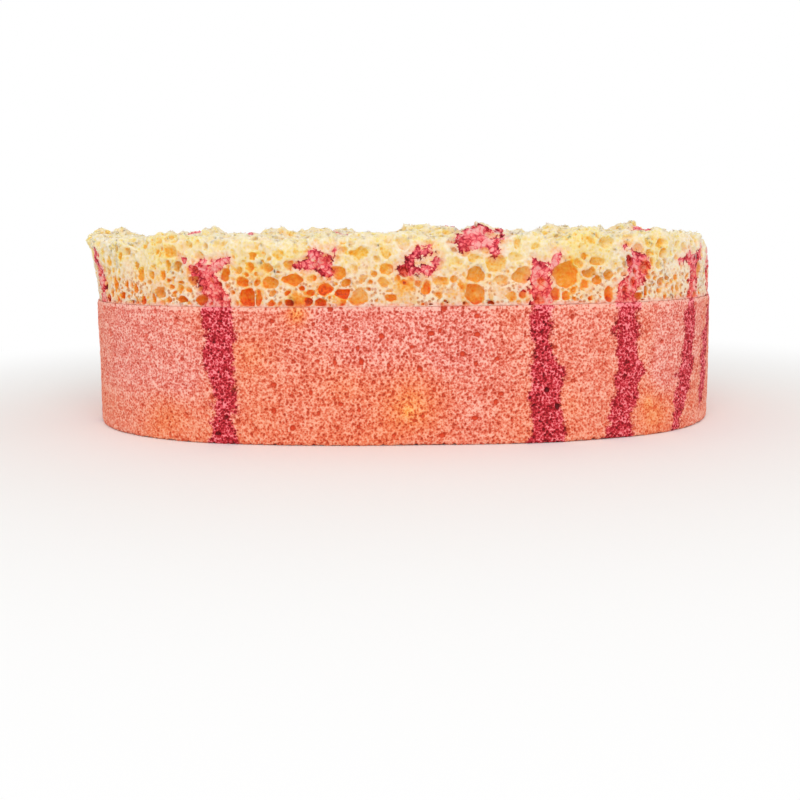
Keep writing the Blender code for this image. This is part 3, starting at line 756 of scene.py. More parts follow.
def surface_nets(field, low, pitch):
    """Skins the zero level of a field sampled on a cubic grid, negative inside.

    Each cell whose eight samples differ in sign gets one vertex, at the mean of the places where the level crosses
    its twelve edges. Each grid edge that the level crosses gets a quad between the four cells round it.
    """
    inside = field < 0
    size = np.array(field.shape) - 1
    offsets = list(itertools.product((0, 1), repeat=3))
    count = np.zeros(size, np.uint8)
    for offset in offsets:
        count += inside[tuple(slice(o, o + s) for o, s in zip(offset, size))]
    crossed = (count > 0) & (count < 8)
    cells = np.argwhere(crossed)
    number = np.full(crossed.shape, -1, np.int32)
    number[crossed] = np.arange(len(cells))
    values = {offset: field[tuple((cells + offset).T)] for offset in offsets}
    total = np.zeros((len(cells), 3), np.float32)
    hits = np.zeros(len(cells), np.float32)
    for first, second in itertools.combinations(offsets, 2):
        step = np.subtract(second, first)
        if np.abs(step).sum() != 1:
            continue
        a, b = values[first], values[second]
        hit = (a < 0) != (b < 0)
        part = a[hit] / (a[hit] - b[hit])
        total[hit] += np.array(first, np.float32) + part[:, None] * step
        hits[hit] += 1
    points = low + (cells + total / hits[:, None]) * pitch
    quads = []
    for axis in range(3):
        right, up = (axis + 1) % 3, (axis + 2) % 3
        here = [slice(1, -1)] * 3
        here[axis] = slice(0, -1)
        there = list(here)
        there[axis] = slice(1, None)
        change = inside[tuple(here)] != inside[tuple(there)]
        at = np.argwhere(change)
        at[:, right] += 1
        at[:, up] += 1
        leaves = inside[tuple(at.T)]
        loop = []
        for back_right, back_up in ((1, 1), (0, 1), (0, 0), (1, 0)):
            cell = at.copy()
            cell[:, right] -= back_right
            cell[:, up] -= back_up
            loop.append(number[tuple(cell.T)])
        quad = np.stack(loop, axis=1)
        quad[~leaves] = quad[~leaves][:, ::-1]
        quads.append(quad)
    return points, np.concatenate(quads)


def distance_to_path(points, path, radii):
    """How far each point is outside a round path through the path's points, whose radius changes along it."""
    best = np.full(len(points), np.inf)
    for start, end, start_radius, end_radius in zip(path[:-1], path[1:], radii[:-1], radii[1:]):
        along = end - start
        part = np.clip(((points - start) @ along) / (along @ along), 0.0, 1.0)
        radius = start_radius + part * (end_radius - start_radius)
        best = np.minimum(best, np.linalg.norm(points - start - part[:, None] * along, axis=1) - radius)
    return best


def coarse_dye(points):
    """How far each point of the coarse foam lies inside the crimson streaks, in millimetres from -2 to 2.

    Noise at three sizes makes their edges ragged.
    """
    nearest = np.full(len(points), FAR)
    for streak in COARSE_STREAKS:
        places = np.array(streak)
        route = wall_points(places[:, 0], places[:, 1], STREAK_INSET)
        first, last = route.min(axis=0) - STREAK_REACH, route.max(axis=0) + STREAK_REACH
        close = np.all((points > first) & (points < last), axis=1)
        apart = distance_to_path(points[close], route, places[:, 2] * MM)
        nearest[close] = np.minimum(nearest[close], apart)
    high = np.flatnonzero(points[:, 2] > COARSE_MEAN_TOP - TOP_STREAK_DEPTH)
    plan = points[high, :2]
    for streak in TOP_STREAKS:
        route = np.array(streak) * MM
        nearest[high] = np.minimum(nearest[high], distance_to_path(plan, route[:, :2], route[:, 2]))
    return np.clip(-(nearest + noises_at(points, DYE_RAG)) / MM, -2.0, 2.0)


def torn_strands(roots, normals, draw):
    """Torn strands, each a thin three-sided tube along a curve, closed at its foot and drawn to a point at its tip.

    A strand's curve is the parabola from its root through a handle over it to an end beside it, and its radius falls
    evenly along it. Returns the points, the quads, the triangles and the strand that each point is on.
    """
    count = len(roots)
    sideways = np.cross(normals, draw.normal(size=(count, 3)))
    sideways /= np.maximum(np.linalg.norm(sideways, axis=1, keepdims=True), 1e-9)
    rise = draw.uniform(*STRAND_RISE, (count, 1))
    reach = draw.uniform(*STRAND_REACH, (count, 1))
    start = roots - STRAND_ROOT * normals
    handle = roots + rise * normals + 0.3 * reach * sideways
    end = roots + draw.uniform(-0.3, 0.7, (count, 1)) * rise * normals + reach * sideways
    thick = draw.uniform(*STRAND_RADIUS, (count, 1, 1))
    across = np.cross(normals, sideways)
    turn = np.arange(3) * 2.0 * math.pi / 3.0
    rings = []
    for share in (0.0, 0.4, 0.75):
        centre = (1 - share) ** 2 * start + 2 * share * (1 - share) * handle + share**2 * end
        along = (1 - share) * (handle - start) + share * (end - handle)
        along /= np.linalg.norm(along, axis=1, keepdims=True)
        flat = np.cross(across, along)
        ring = np.cos(turn)[:, None] * flat[:, None, :] + np.sin(turn)[:, None] * np.cross(along, flat)[:, None, :]
        rings.append(centre[:, None, :] + thick * (1.0 - 0.6 * share) * ring)
    points = np.concatenate([*rings, end[:, None, :]], axis=1).reshape(-1, 3)
    first = 10 * np.arange(count)[:, None, None]
    i = np.arange(3)
    j = (i + 1) % 3
    tube = np.concatenate([np.stack([i + low, j + low, j + low + 3, i + low + 3], 1) for low in (0, 3)])
    caps = np.concatenate([np.stack([i + 6, j + 6, np.full(3, 9)], 1), [[2, 1, 0]]])
    return points, (first + tube).reshape(-1, 4), (first + caps).reshape(-1, 3), np.repeat(np.arange(count), 10)


def coarse_foam_material(finish):
    """Flexible polyurethane foam with large open cells, torn by hand and soaked with amber soap.

    Blown cells give thin walls that let light through and look pale cream at their rims, while the soap that settled
    on the cells' floors looks amber to orange and a little wet. Torn strands give a fine, dull fuzz. Some colour is
    painted light: shadow in pores under dyed lumps, shade in the dye's hollows and the lace's holes, pale highlights on
    the walls.
    """
    material, node, shader = blank_material("coarse_polyurethane_foam_torn")
    warmth, dye, low = (
        node("Attribute", attribute_name=name).outputs["Fac"] for name in ("warmth", "dye", "low")
    )
    place = node("TexCoord").outputs["Object"]
    # The finest cells, 0.7 mm across, and the fuzz of torn strands round them.
    cells = node("TexVoronoi", {"Vector": place, "Scale": 1400.0})
    fuzz = node("TexNoise", {"Vector": place, "Scale": 1300.0, "Detail": 3.0, "Roughness": 0.6})
    # On dry walls each fine cell is painted warmer at its middle, as painted shade, and paler at its edge, as painted
    # highlight.
    speck_shade_and_highlight = node("MapRange", {"Value": cells, "From Min": 0.10, "From Max": 0.55, "To Min": 0.24, "To Max": -0.08})
    mottle = node("MapRange", {"Value": fuzz, "From Min": 0.3, "From Max": 0.7, "To Min": -0.13, "To Max": 0.13})
    dry = node("Math", {0: 1.0, 1: warmth}, operation="SUBTRACT")
    speck_shade_and_highlight = node("Math", {0: speck_shade_and_highlight, 1: dry}, operation="MULTIPLY")
    grain = node("Math", {0: speck_shade_and_highlight, 1: mottle}, operation="ADD")
    varied = node("Math", {0: warmth, 1: grain}, operation="ADD", use_clamp=True)
    torn = node("ValToRGB", {"Fac": varied}, (
        (0.0, finish.cream_light), (0.16, finish.cream), (0.36, finish.yellow_pale), (0.56, finish.yellow),
        (0.8, finish.amber), (1.0, finish.rust_and_shadow),
    ))
    soaked = node("ValToRGB", {"Fac": varied}, (
        (0.0, finish.cream_pink), (0.16, finish.peach), (0.34, finish.amber_pale), (0.56, finish.orange),
        (0.8, finish.orange_deep), (1.0, finish.rust_and_shadow),
    ))
    # In patches low down the pores' dry walls are a lace of pale strands round small cells,
    # whose holes are painted brown as painted shade.
    patch = node("TexNoise", {"Vector": place, "Scale": 230.0, "Detail": 2.0})
    lace = node("MapRange", {"Value": patch, "From Min": 0.43, "From Max": 0.51}, interpolation_type="SMOOTHSTEP")
    wall = node("MapRange", {"Value": warmth, "From Min": 0.26, "From Max": 0.42, "To Min": 1.0, "To Max": 0.0})
    lace = node("Math", {0: lace, 1: wall}, operation="MULTIPLY")
    lace = node("Math", {0: lace, 1: low}, operation="MULTIPLY", use_clamp=True)
    fine_cells = node("TexVoronoi", {"Vector": place, "Scale": 1350.0})
    # Painted shade in the holes of cells too small for the mesh.
    hole_shade = node("MapRange", {"Value": fine_cells, "From Min": 0.32, "From Max": 0.52, "To Min": 1.0, "To Max": 0.0})
    own = node("SeparateColor", {"Color": fine_cells.outputs["Color"]})
    own = node("MapRange", {"Value": own, "From Min": 0.05, "From Max": 0.4, "To Max": 0.75})
    hole_shade = node("Math", {0: hole_shade, 1: own}, operation="MULTIPLY")
    hole_shade = node("Math", {0: hole_shade, 1: lace}, operation="MULTIPLY")
    net = node("Math", {0: lace, 1: hole_shade}, operation="SUBTRACT")
    net = node("Math", {0: net, 1: 0.5}, operation="MULTIPLY", use_clamp=True)
    # The body's coral dye has crept up from the bond, where the value low goes past 1.
    crept = node("MapRange", {"Value": low, "From Min": 1.0, "From Max": 1.6, "To Max": 0.7})
    crept = node("Math", {0: crept, 1: mottle}, operation="ADD")
    by_bond = node("Math", {0: low, 1: 1.02}, operation="GREATER_THAN")
    crept = node("Math", {0: crept, 1: by_bond}, operation="MULTIPLY", use_clamp=True)
    coral = node("ValToRGB", {"Fac": varied}, ((0.0, finish.coral_light), (0.3, finish.coral), (0.8, "#D8502C")))
    # Thin dye has run on from the streaks and left the foam pink.
    halo = node("MapRange", {"Value": dye, "From Min": -1.7, "From Max": 0.0, "To Max": 0.55})
    halo = node("Math", {0: halo, 1: mottle}, operation="ADD")
    near = node("Math", {0: dye, 1: -1.6}, operation="GREATER_THAN")
    halo = node("Math", {0: halo, 1: near}, operation="MULTIPLY", use_clamp=True)
    pink = node("ValToRGB", {"Fac": varied}, ((0.0, "#FFC4B4"), (0.3, "#FA9E8C"), (1.0, "#D8442C")))
    # The dye is darkest in clumps 2 mm across and along torn strands, and glints pink between them. Down in the
    # hollows it is painted darker still, as painted shade.
    clump = node("TexNoise", {"Vector": place, "Scale": 480.0, "Detail": 2.0})
    clump = node("MapRange", {"Value": clump, "From Min": 0.38, "From Max": 0.66, "To Min": -0.26, "To Max": 0.44})
    bent = node("TexNoise", {"Vector": place, "Scale": 900.0, "Detail": 2.0})
    bent = node("VectorMath", {0: bent.outputs["Color"], "Scale": 0.0012}, operation="SCALE")
    bent = node("VectorMath", {0: place, 1: bent}, operation="ADD")
    strands = node("TexVoronoi", {"Vector": bent, "Scale": 850.0}, feature="DISTANCE_TO_EDGE")
    strands = node("MapRange", {"Value": strands, "From Min": 0.02, "From Max": 0.15, "To Min": 0.36, "To Max": 0.0})
    # The dye is also a little darker just inside the streak's edge.
    tone = node("MapRange", {"Value": dye, "From Max": 0.6, "To Min": 0.20, "To Max": 0.0})
    spotted = node("Math", {0: mottle, 1: 1.9}, operation="MULTIPLY")
    # Painted shade: the dye is painted darker where the pore is deep and warm.
    hollow_shade = node("Math", {0: warmth, 1: 0.3}, operation="MULTIPLY")
    for part in (clump, strands, spotted, hollow_shade):
        tone = node("Math", {0: tone, 1: part}, operation="ADD")
    tone = node("Clamp", {"Value": tone})
    low_down = node("ValToRGB", {"Fac": tone}, (
        (0.0, "#FFA89C"), (0.25, "#F87A74"), (0.5, "#E44A4C"), (0.8, "#B41C28"), (1.0, "#7C0812"),
    ))
    dyed = node("ValToRGB", {"Fac": tone}, (
        (0.0, "#FFB2AE"), (0.25, "#F88288"), (0.5, "#E2505E"), (0.8, "#B02034"), (1.0, "#780C1A"),
    ))
    # Where soap lies over the dye it turns orange-red.
    wet = node("ValToRGB", {"Fac": tone}, ((0.0, "#FFA070"), (0.4, "#F86A34"), (1.0, "#B0341C")))
    soaped = node("MapRange", {"Value": warmth, "From Min": 0.42, "From Max": 0.66, "To Max": 0.75})
    for factor, layer in ((low, low_down), (soaped, wet)):
        dyed = node("Mix", {"Factor": factor, 6: dyed, 7: layer}, data_type="RGBA")
    spill = node("Math", {0: mottle, 1: 2.4}, operation="MULTIPLY")
    for part in (dye, strands):
        spill = node("Math", {0: spill, 1: part}, operation="ADD")
    covered = node("MapRange", {"Value": spill, "From Min": -0.14, "From Max": 0.10})
    colour = torn
    for factor, layer in (
        (low, soaked), (net, linear("#FFF0DC")), (hole_shade, linear("#BC6E38")), (crept, coral), (halo, pink),
        (covered, dyed),
    ):
        colour = node("Mix", {"Factor": factor, 6: colour, 7: layer}, data_type="RGBA")
    rough = node("MapRange", {"Value": warmth, "From Min": 0.1, "From Max": 0.9, "To Min": 0.8, "To Max": 0.5})
    relief = node("Math", {0: cells, 1: fuzz}, operation="ADD")
    bump = node("Bump", {"Strength": 0.8, "Distance": 0.0003, "Height": relief})
    # Strands are too thin for light to scatter in them, and none scatters in from the flat cut below.
    in_strand = node("MapRange", {"Value": low, "From Min": STRAND_MARK, "From Max": 0.0, "To Min": 0.2})
    near_cut = node("MapRange", {"Value": low, "From Min": 1.0, "From Max": 1.5, "To Min": 1.0, "To Max": 0.1})
    scatter = node("Math", {0: in_strand, 1: near_cut}, operation="MULTIPLY")
    fill_inputs(material.node_tree, shader, {
        "Base Color": colour, "Roughness": rough, "Normal": bump, "Subsurface Weight": scatter,
    })
    shader.inputs["IOR"].default_value = 1.45
    shader.inputs["Specular IOR Level"].default_value = 0.3
    shader.inputs["Subsurface Radius"].default_value = (1.0, 0.96, 0.88)
    shader.inputs["Subsurface Scale"].default_value = 0.0016
    return material


def whole_foam(grid):
    """The coarse foam's field, with its closed hollows filled and its loose crumbs taken out."""
    field = grid.foam()
    outside = np.zeros(field.shape, bool)
    outside[[0, -1]] = outside[:, [0, -1]] = outside[:, :, [0, -1]] = True
    empty = field >= 0
    field[empty & ~reached(empty, outside)] = -0.5 * grid.pitch
    core = np.zeros(field.shape, bool)
    core[tuple(size // 2 for size in field.shape[:2])] = True
    solid = field < 0
    field[solid & ~reached(solid, core)] = 0.5 * grid.pitch
    return field


def coarse_values(points, depth, soap, height):
    """How warm soap, painted shade and painted light make each point of the coarse foam, how far it lies in the dye,
    and how low it lies.
    """
    low_down = 1.0 - smooth_step(0.0, 0.8, height)
    patchy = noise_at(points, 0.011, 81)
    floor = smooth_step(0.06, 0.55, depth)
    over_bond = points[:, 2] - SKIRT_BOTTOM
    warmth = 0.08 + 0.03 * low_down + 0.04 * patchy + (0.11 + 0.40 * soap + 0.08 * patchy) * floor + 0.02 * depth
    warmth += (0.10 + 0.12 * noise_at(points, 0.0034, 84)) * (1.0 - low_down)
    add_patches(warmth, points, COARSE_SOAP_PATCHES)
    # Near the bond the pore floors are painted warmer, a painted reflection of the pink body below.
    warmth += 0.22 * floor * smooth_step(0.0021, 0.0006, over_bond)
    low = np.clip(low_down + 0.25 * noise_at(points, 0.004, 82), 0.0, 1.0)
    # Past 1 it says how far the body's coral dye has crept up from the bond.
    low += 0.6 * smooth_step(0.0012, 0.0002, over_bond + 0.0004 * noise_at(points, 0.0012, 83))
    return np.clip(warmth, 0.0, 1.0), coarse_dye(points), low


def build_coarse_foam(finish):
    """Makes the coarse foam: the envelope less its pores, skinned on a grid, with torn strands on its top."""
    grid = FoamGrid(COARSE_PITCH)
    grid.blow_front()
    grid.blow_random()
    points, quads = surface_nets(whole_foam(grid), grid.low, grid.pitch)
    at = grid.index(points)
    depth = np.clip(-grid.body[at], 0.0, 0.006) / MM
    height = share_up(points[:, 2])
    warmth, dye, low = coarse_values(points, depth, grid.soap[at], height)
    # The flat cut underneath is shaded flat, with a sharp edge all round it.
    facing = np.cross(points[quads[:, 2]] - points[quads[:, 0]], points[quads[:, 3]] - points[quads[:, 1]])
    cut_flat = facing[:, 2] < -0.8 * np.linalg.norm(facing, axis=1)
    cut_flat &= points[quads].max(axis=1)[:, 2] < COARSE_BOTTOM + grid.pitch

    draw = np.random.default_rng(STRAND_SEED)
    upward = grid.facing(at)[:, 2]
    torn = smooth_step(*TORN_HEIGHTS, height) * smooth_step(0.5, 0.8, upward) * (depth < 0.5) * (depth > 0.0)
    rooted = draw.choice(len(points), STRANDS, replace=False, p=torn / torn.sum())
    normals = grid.facing([part[rooted] for part in at])
    strand_points, strand_quads, strand_ends, owner = torn_strands(points[rooted], normals, draw)
    strand_quads = strand_quads + len(points)
    strand_ends = strand_ends + len(points)
    points = np.concatenate([points, strand_points])
    quads = np.concatenate([quads, strand_quads])
    warmth = np.append(warmth, 0.4 * np.minimum(warmth[rooted], 0.3)[owner])
    dye = np.append(dye, dye[rooted][owner])
    low = np.append(low, np.full(len(owner), STRAND_MARK))
    cut_flat = np.append(cut_flat, np.zeros(len(strand_quads) + len(strand_ends), bool))
    thing = add_mesh("coarse_foam", points, [quads, strand_ends], coarse_foam_material(finish), ~cut_flat)
    sharpen_round(thing, cut_flat)
    add_values(thing, warmth=warmth, dye=dye, low=low)
    # Each point's place on the map is its warmth across and its stain up, so that a baked picture is a palette.
    spread = np.random.default_rng(PALETTE_SEED).uniform(-0.012, 0.012, (len(points), 2))
    stain = np.where(dye > -0.1, 0.40 - 0.18 * dye, 0.46 + 0.33 * np.maximum(low, 0.0))
    palette = np.clip(np.stack([warmth, stain], axis=1) * 0.94 + 0.03 + spread, 0.005, 0.995)
    add_map(thing, palette[np.concatenate([quads.ravel(), strand_ends.ravel()])])
    return thing


def pit_depths(width, height, pitch, seed, wraps):
    """A raster of pit depths: round pits of random size on shaken grids, each as deep as a sphere cut off-centre.

    It is stamped for all pits at once, one place of their footprint at a time.
    """
    shape = (int(round(width / pitch)), int(round(height / pitch)) + 1)
    depth = np.zeros(shape, np.float32)
    draw = np.random.default_rng(seed)
    for spacing, radius_low, radius_high, share in FINE_PORES:
        step = spacing * MM
        columns, rows = int(width / step), int(height / step) + 1
        column, row = np.meshgrid(np.arange(columns), np.arange(rows), indexing="ij")
        count = column.size
        x = (column.ravel() + draw.uniform(0.0, 0.95, count)) * width / columns
        y = (row.ravel() + draw.uniform(0.0, 0.95, count)) * step
        radius = draw.uniform(radius_low, radius_high, count) * MM
        stretch = draw.uniform(0.75, 1.3, count)
        keep = draw.random(count) < share
        x, y, radius, stretch = x[keep], y[keep], radius[keep], stretch[keep]
        i = (x / pitch).astype(int)
        j = (y / pitch).astype(int)
        reach = int(radius_high * MM * 1.3 / pitch) + 1
        for across, up in itertools.product(range(-reach, reach + 2), repeat=2):
            column, row = i + across, j + up
            apart = ((column * pitch - x) / stretch) ** 2 + ((row * pitch - y) * stretch) ** 2
            sunk = np.sqrt(np.maximum(radius**2 - apart, 0.0))
            column = column % shape[0] if wraps else column
            inside = (sunk > 0) & (column >= 0) & (column < shape[0]) & (row >= 0) & (row < shape[1])
            np.maximum.at(depth, (column[inside], row[inside]), sunk[inside])
    return depth


def sample(raster, x, y):
    """A raster's value between its samples, by the blend of the four round each place."""
    i = np.clip(x.astype(int), 0, raster.shape[0] - 2)
    j = np.clip(y.astype(int), 0, raster.shape[1] - 2)
    a, b = np.clip(x - i, 0, 1), np.clip(y - j, 0, 1)
    return (
        raster[i, j] * (1 - a) * (1 - b) + raster[i + 1, j] * a * (1 - b)
        + raster[i, j + 1] * (1 - a) * b + raster[i + 1, j + 1] * a * b
    )


def band_dye(places, heights):
    """How far places on the wall lie inside a band of crimson dye, in millimetres, from -2 to 2.

    A band's middle and width change with height, and noise at two sizes makes its edges ragged.
    """
    inside = np.full(len(places), -np.inf)
    for band in BODY_BANDS:
        level, middle, half = np.array(band).T
        centre = np.interp(heights, level, middle)
        apart = np.abs((places - centre + PERIMETER / MM / 2) % (PERIMETER / MM) - PERIMETER / MM / 2)
        inside = np.maximum(inside, np.interp(heights, level, half) - apart)
    return np.clip(inside + noises_at(np.stack([places, heights], axis=1), BAND_RAG), -2.0, 2.0)


def base_dye(plan):
    """The dye under the body, which runs in from each band for about 12 mm."""
    inset = -wall_distance(plan[:, 0], plan[:, 1]) / MM
    narrowing = np.clip(1.0 - inset / BAND_RUN_IN, 0.0, 1.0)
    near = band_dye(places_round(plan) + 2.0 * noise_at(plan, 0.006, 77), np.zeros(len(plan)))
    reach = smooth_step(0.12, 0.4, narrowing + 0.25 * noise_at(plan, 0.003, 78))
    return near * reach - 2.0 * (1.0 - reach)


def tint_of(points):
    """How orange the coral is, from 0 to 1: soap shows through in soft patches, more of them low down."""
    tint = 0.20 + 0.24 * noise_at(points, 0.020, 85) + 0.16 * noise_at(points, 0.006, 86)
    tint = tint + 0.32 * (1.0 - points[:, 2] / BODY_TOP)
    add_patches(tint, points, SOAP_PATCHES)
    return np.clip(tint, 0.0, 1.6)


def halved(first, second, count):
    """Triangles between a ring of count vertices and an inner one of half as many, and the index after them."""
    i = np.arange(count // 2)
    a, b, c = first + 2 * i, first + 2 * i + 1, first + (2 * i + 2) % count
    d, e = second + i, second + (i + 1) % (count // 2)
    return np.concatenate([np.stack([a, b, d], 1), np.stack([b, e, d], 1), np.stack([b, c, e], 1)])


def ring_quads(first, second, count):
    """Quads between two rings of count vertices, the second above the first."""
    i = np.arange(count)
    j = (i + 1) % count
    return np.stack([first + i, first + j, second + j, second + i], axis=1)


def base_grid(ring, columns_x, columns_y):
    """A grid that fills a closed ring: each square loop of the grid is the ring drawn in towards the middle.

    A grid place's larger coordinate is the share of the way out, and where its loop's corner lies gives the place
    round the ring. Returns the inner points, and for every grid place its vertex number, where the ring's own points
    are numbered first.
    """
    count = len(ring)
    i, j = np.meshgrid(np.arange(columns_x + 1), np.arange(columns_y + 1), indexing="ij")
    u = 2.0 * i / columns_x - 1.0
    v = 2.0 * j / columns_y - 1.0
    out = np.maximum(np.maximum(np.abs(u), np.abs(v)), 1e-9)
    p, q = u / out, v / out
    right = np.abs(p) >= np.abs(q)
    along = np.where(
        right & (p > 0), q * columns_y / 2,
        np.where(
            ~right & (q > 0), columns_y / 2 + (1.0 - p) * columns_x / 2,
            np.where(
                right, columns_y / 2 + columns_x + (1.0 - q) * columns_y / 2,
                1.5 * columns_y + columns_x + (1.0 + p) * columns_x / 2,
            ),
        ),
    ) % count
    low = along.astype(int) % count
    part = (along - np.floor(along))[..., None]
    plan = (ring[low] * (1 - part) + ring[(low + 1) % count] * part) * out[..., None]
    edge = (i == 0) | (i == columns_x) | (j == 0) | (j == columns_y)
    number = np.empty(i.shape, int)
    number[edge] = np.rint(along[edge]).astype(int) % count
    number[~edge] = count + np.arange((~edge).sum())
    return plan[~edge], number


def fine_foam_material(finish):
    """Flexible polyurethane foam with fine open cells, cut with a hot wire and soaked with soap.

    Cells about 0.5 mm across give a net of struts over pits. The pits are painted darker and redder the deeper they
    are, as painted shade, and the struts paler, as painted highlight. Soap in the depth gives soft orange patches, and
    crimson dye gives bands whose struts glint pink, with less dye on them and a painted highlight.
    """
    material, node, shader = blank_material("fine_polyurethane_foam_cut")
    pit, dye, tint = (
        node("Attribute", attribute_name=name).outputs["Fac"] for name in ("pit", "dye", "tint")
    )
    place = node("TexCoord").outputs["Object"]
    # The finest cells, 0.45 mm across, pulled out of round, each of its own depth, painted darker as it deepens.
    pull = node("TexNoise", {"Vector": place, "Scale": 2200.0, "Detail": 2.0})
    shift = node("VectorMath", {0: pull.outputs["Color"], 1: (0.5, 0.5, 0.5)}, operation="SUBTRACT")
    shift = node("VectorMath", {0: shift, "Scale": 0.00045}, operation="SCALE")
    pulled = node("VectorMath", {0: place, 1: shift}, operation="ADD")
    cells = node("TexVoronoi", {"Vector": pulled, "Scale": 2200.0})
    tiny = node("MapRange", {"Value": cells, "From Min": 0.06, "From Max": 0.80, "To Min": 1.0, "To Max": 0.0})
    own = node("SeparateColor", {"Color": cells.outputs["Color"]})
    own = node("MapRange", {"Value": own, "To Min": 0.45, "To Max": 1.05})
    tiny = node("Math", {0: tiny, 1: own}, operation="MULTIPLY")
    fuzz = node("TexNoise", {"Vector": place, "Scale": 2600.0, "Detail": 3.0, "Roughness": 0.7})
    mottle = node("MapRange", {"Value": fuzz, "From Min": 0.3, "From Max": 0.7, "To Min": -0.22, "To Max": 0.22})
    flat = node("VectorMath", {0: place, 1: (1.0, 1.0, 2.2)}, operation="MULTIPLY")
    cloud = node("TexNoise", {"Vector": flat, "Scale": 300.0, "Detail": 3.0, "Roughness": 0.65})
    cloud = node("MapRange", {"Value": cloud, "From Min": 0.3, "From Max": 0.7, "To Min": -0.16, "To Max": 0.16})
    uneven = node("Math", {0: mottle, 1: cloud}, operation="ADD")
    deep = node("Math", {0: pit, 1: tiny}, operation="ADD")
    varied = node("Math", {0: deep, 1: uneven}, operation="ADD", use_clamp=True)
    # Each ramp runs from the pale struts, a painted highlight, to the dark pits, a painted shade that deepens with
    # depth.
    pink, orange, amber, crimson = (
        node("ValToRGB", {"Fac": varied}, stops)
        for stops in (
            ((0.0, finish.coral_light), (0.32, finish.coral), (0.62, "#DE624E"), (1.0, "#BC3E2A")),
            ((0.0, "#FDAE86"), (0.32, finish.coral_orange), (0.62, "#E66438"), (1.0, "#C0441E")),
            ((0.0, "#FFC880"), (0.34, "#FFA250"), (0.62, "#EE7838"), (1.0, "#C85020")),
            ((0.0, "#FC9096"), (0.18, "#E04450"), (0.42, "#B41624"), (0.7, "#8C0812"), (1.0, "#5E0206")),
        )
    )
    # Past 1 the tint is soap that has come right to the surface.
    surfaced = node("MapRange", {"Value": tint, "From Min": 0.95, "From Max": 1.5})
    # The deepest pits are painted orange-red: soap under them, and painted light that lifts the shade in them.
    soap_and_painted_glow = node("MapRange", {"Value": pit, "From Min": 0.68, "From Max": 0.94, "To Max": 0.6})
    # The band's edge breaks up into single dyed cells.
    spill = node("Math", {0: uneven, 1: 2.4}, operation="MULTIPLY")
    spill = node("Math", {0: dye, 1: spill}, operation="ADD")
    covered = node("MapRange", {"Value": spill, "From Min": -0.45, "From Max": 0.45}, interpolation_type="SMOOTHSTEP")
    colour = pink
    for factor, layer in ((tint, orange), (surfaced, amber), (soap_and_painted_glow, linear("#F4552E")), (covered, crimson)):
        colour = node("Mix", {"Factor": factor, 6: colour, 7: layer}, data_type="RGBA")
    rough = node("MapRange", {"Value": varied, "To Min": 0.82, "To Max": 0.55})
    height = node("Math", {0: 1.0, 1: deep}, operation="SUBTRACT")
    bump = node("Bump", {"Strength": 0.5, "Distance": 0.00015, "Height": height})
    fill_inputs(material.node_tree, shader, {"Base Color": colour, "Roughness": rough, "Normal": bump})
    shader.inputs["IOR"].default_value = 1.45
    shader.inputs["Specular IOR Level"].default_value = 0.3
    return material


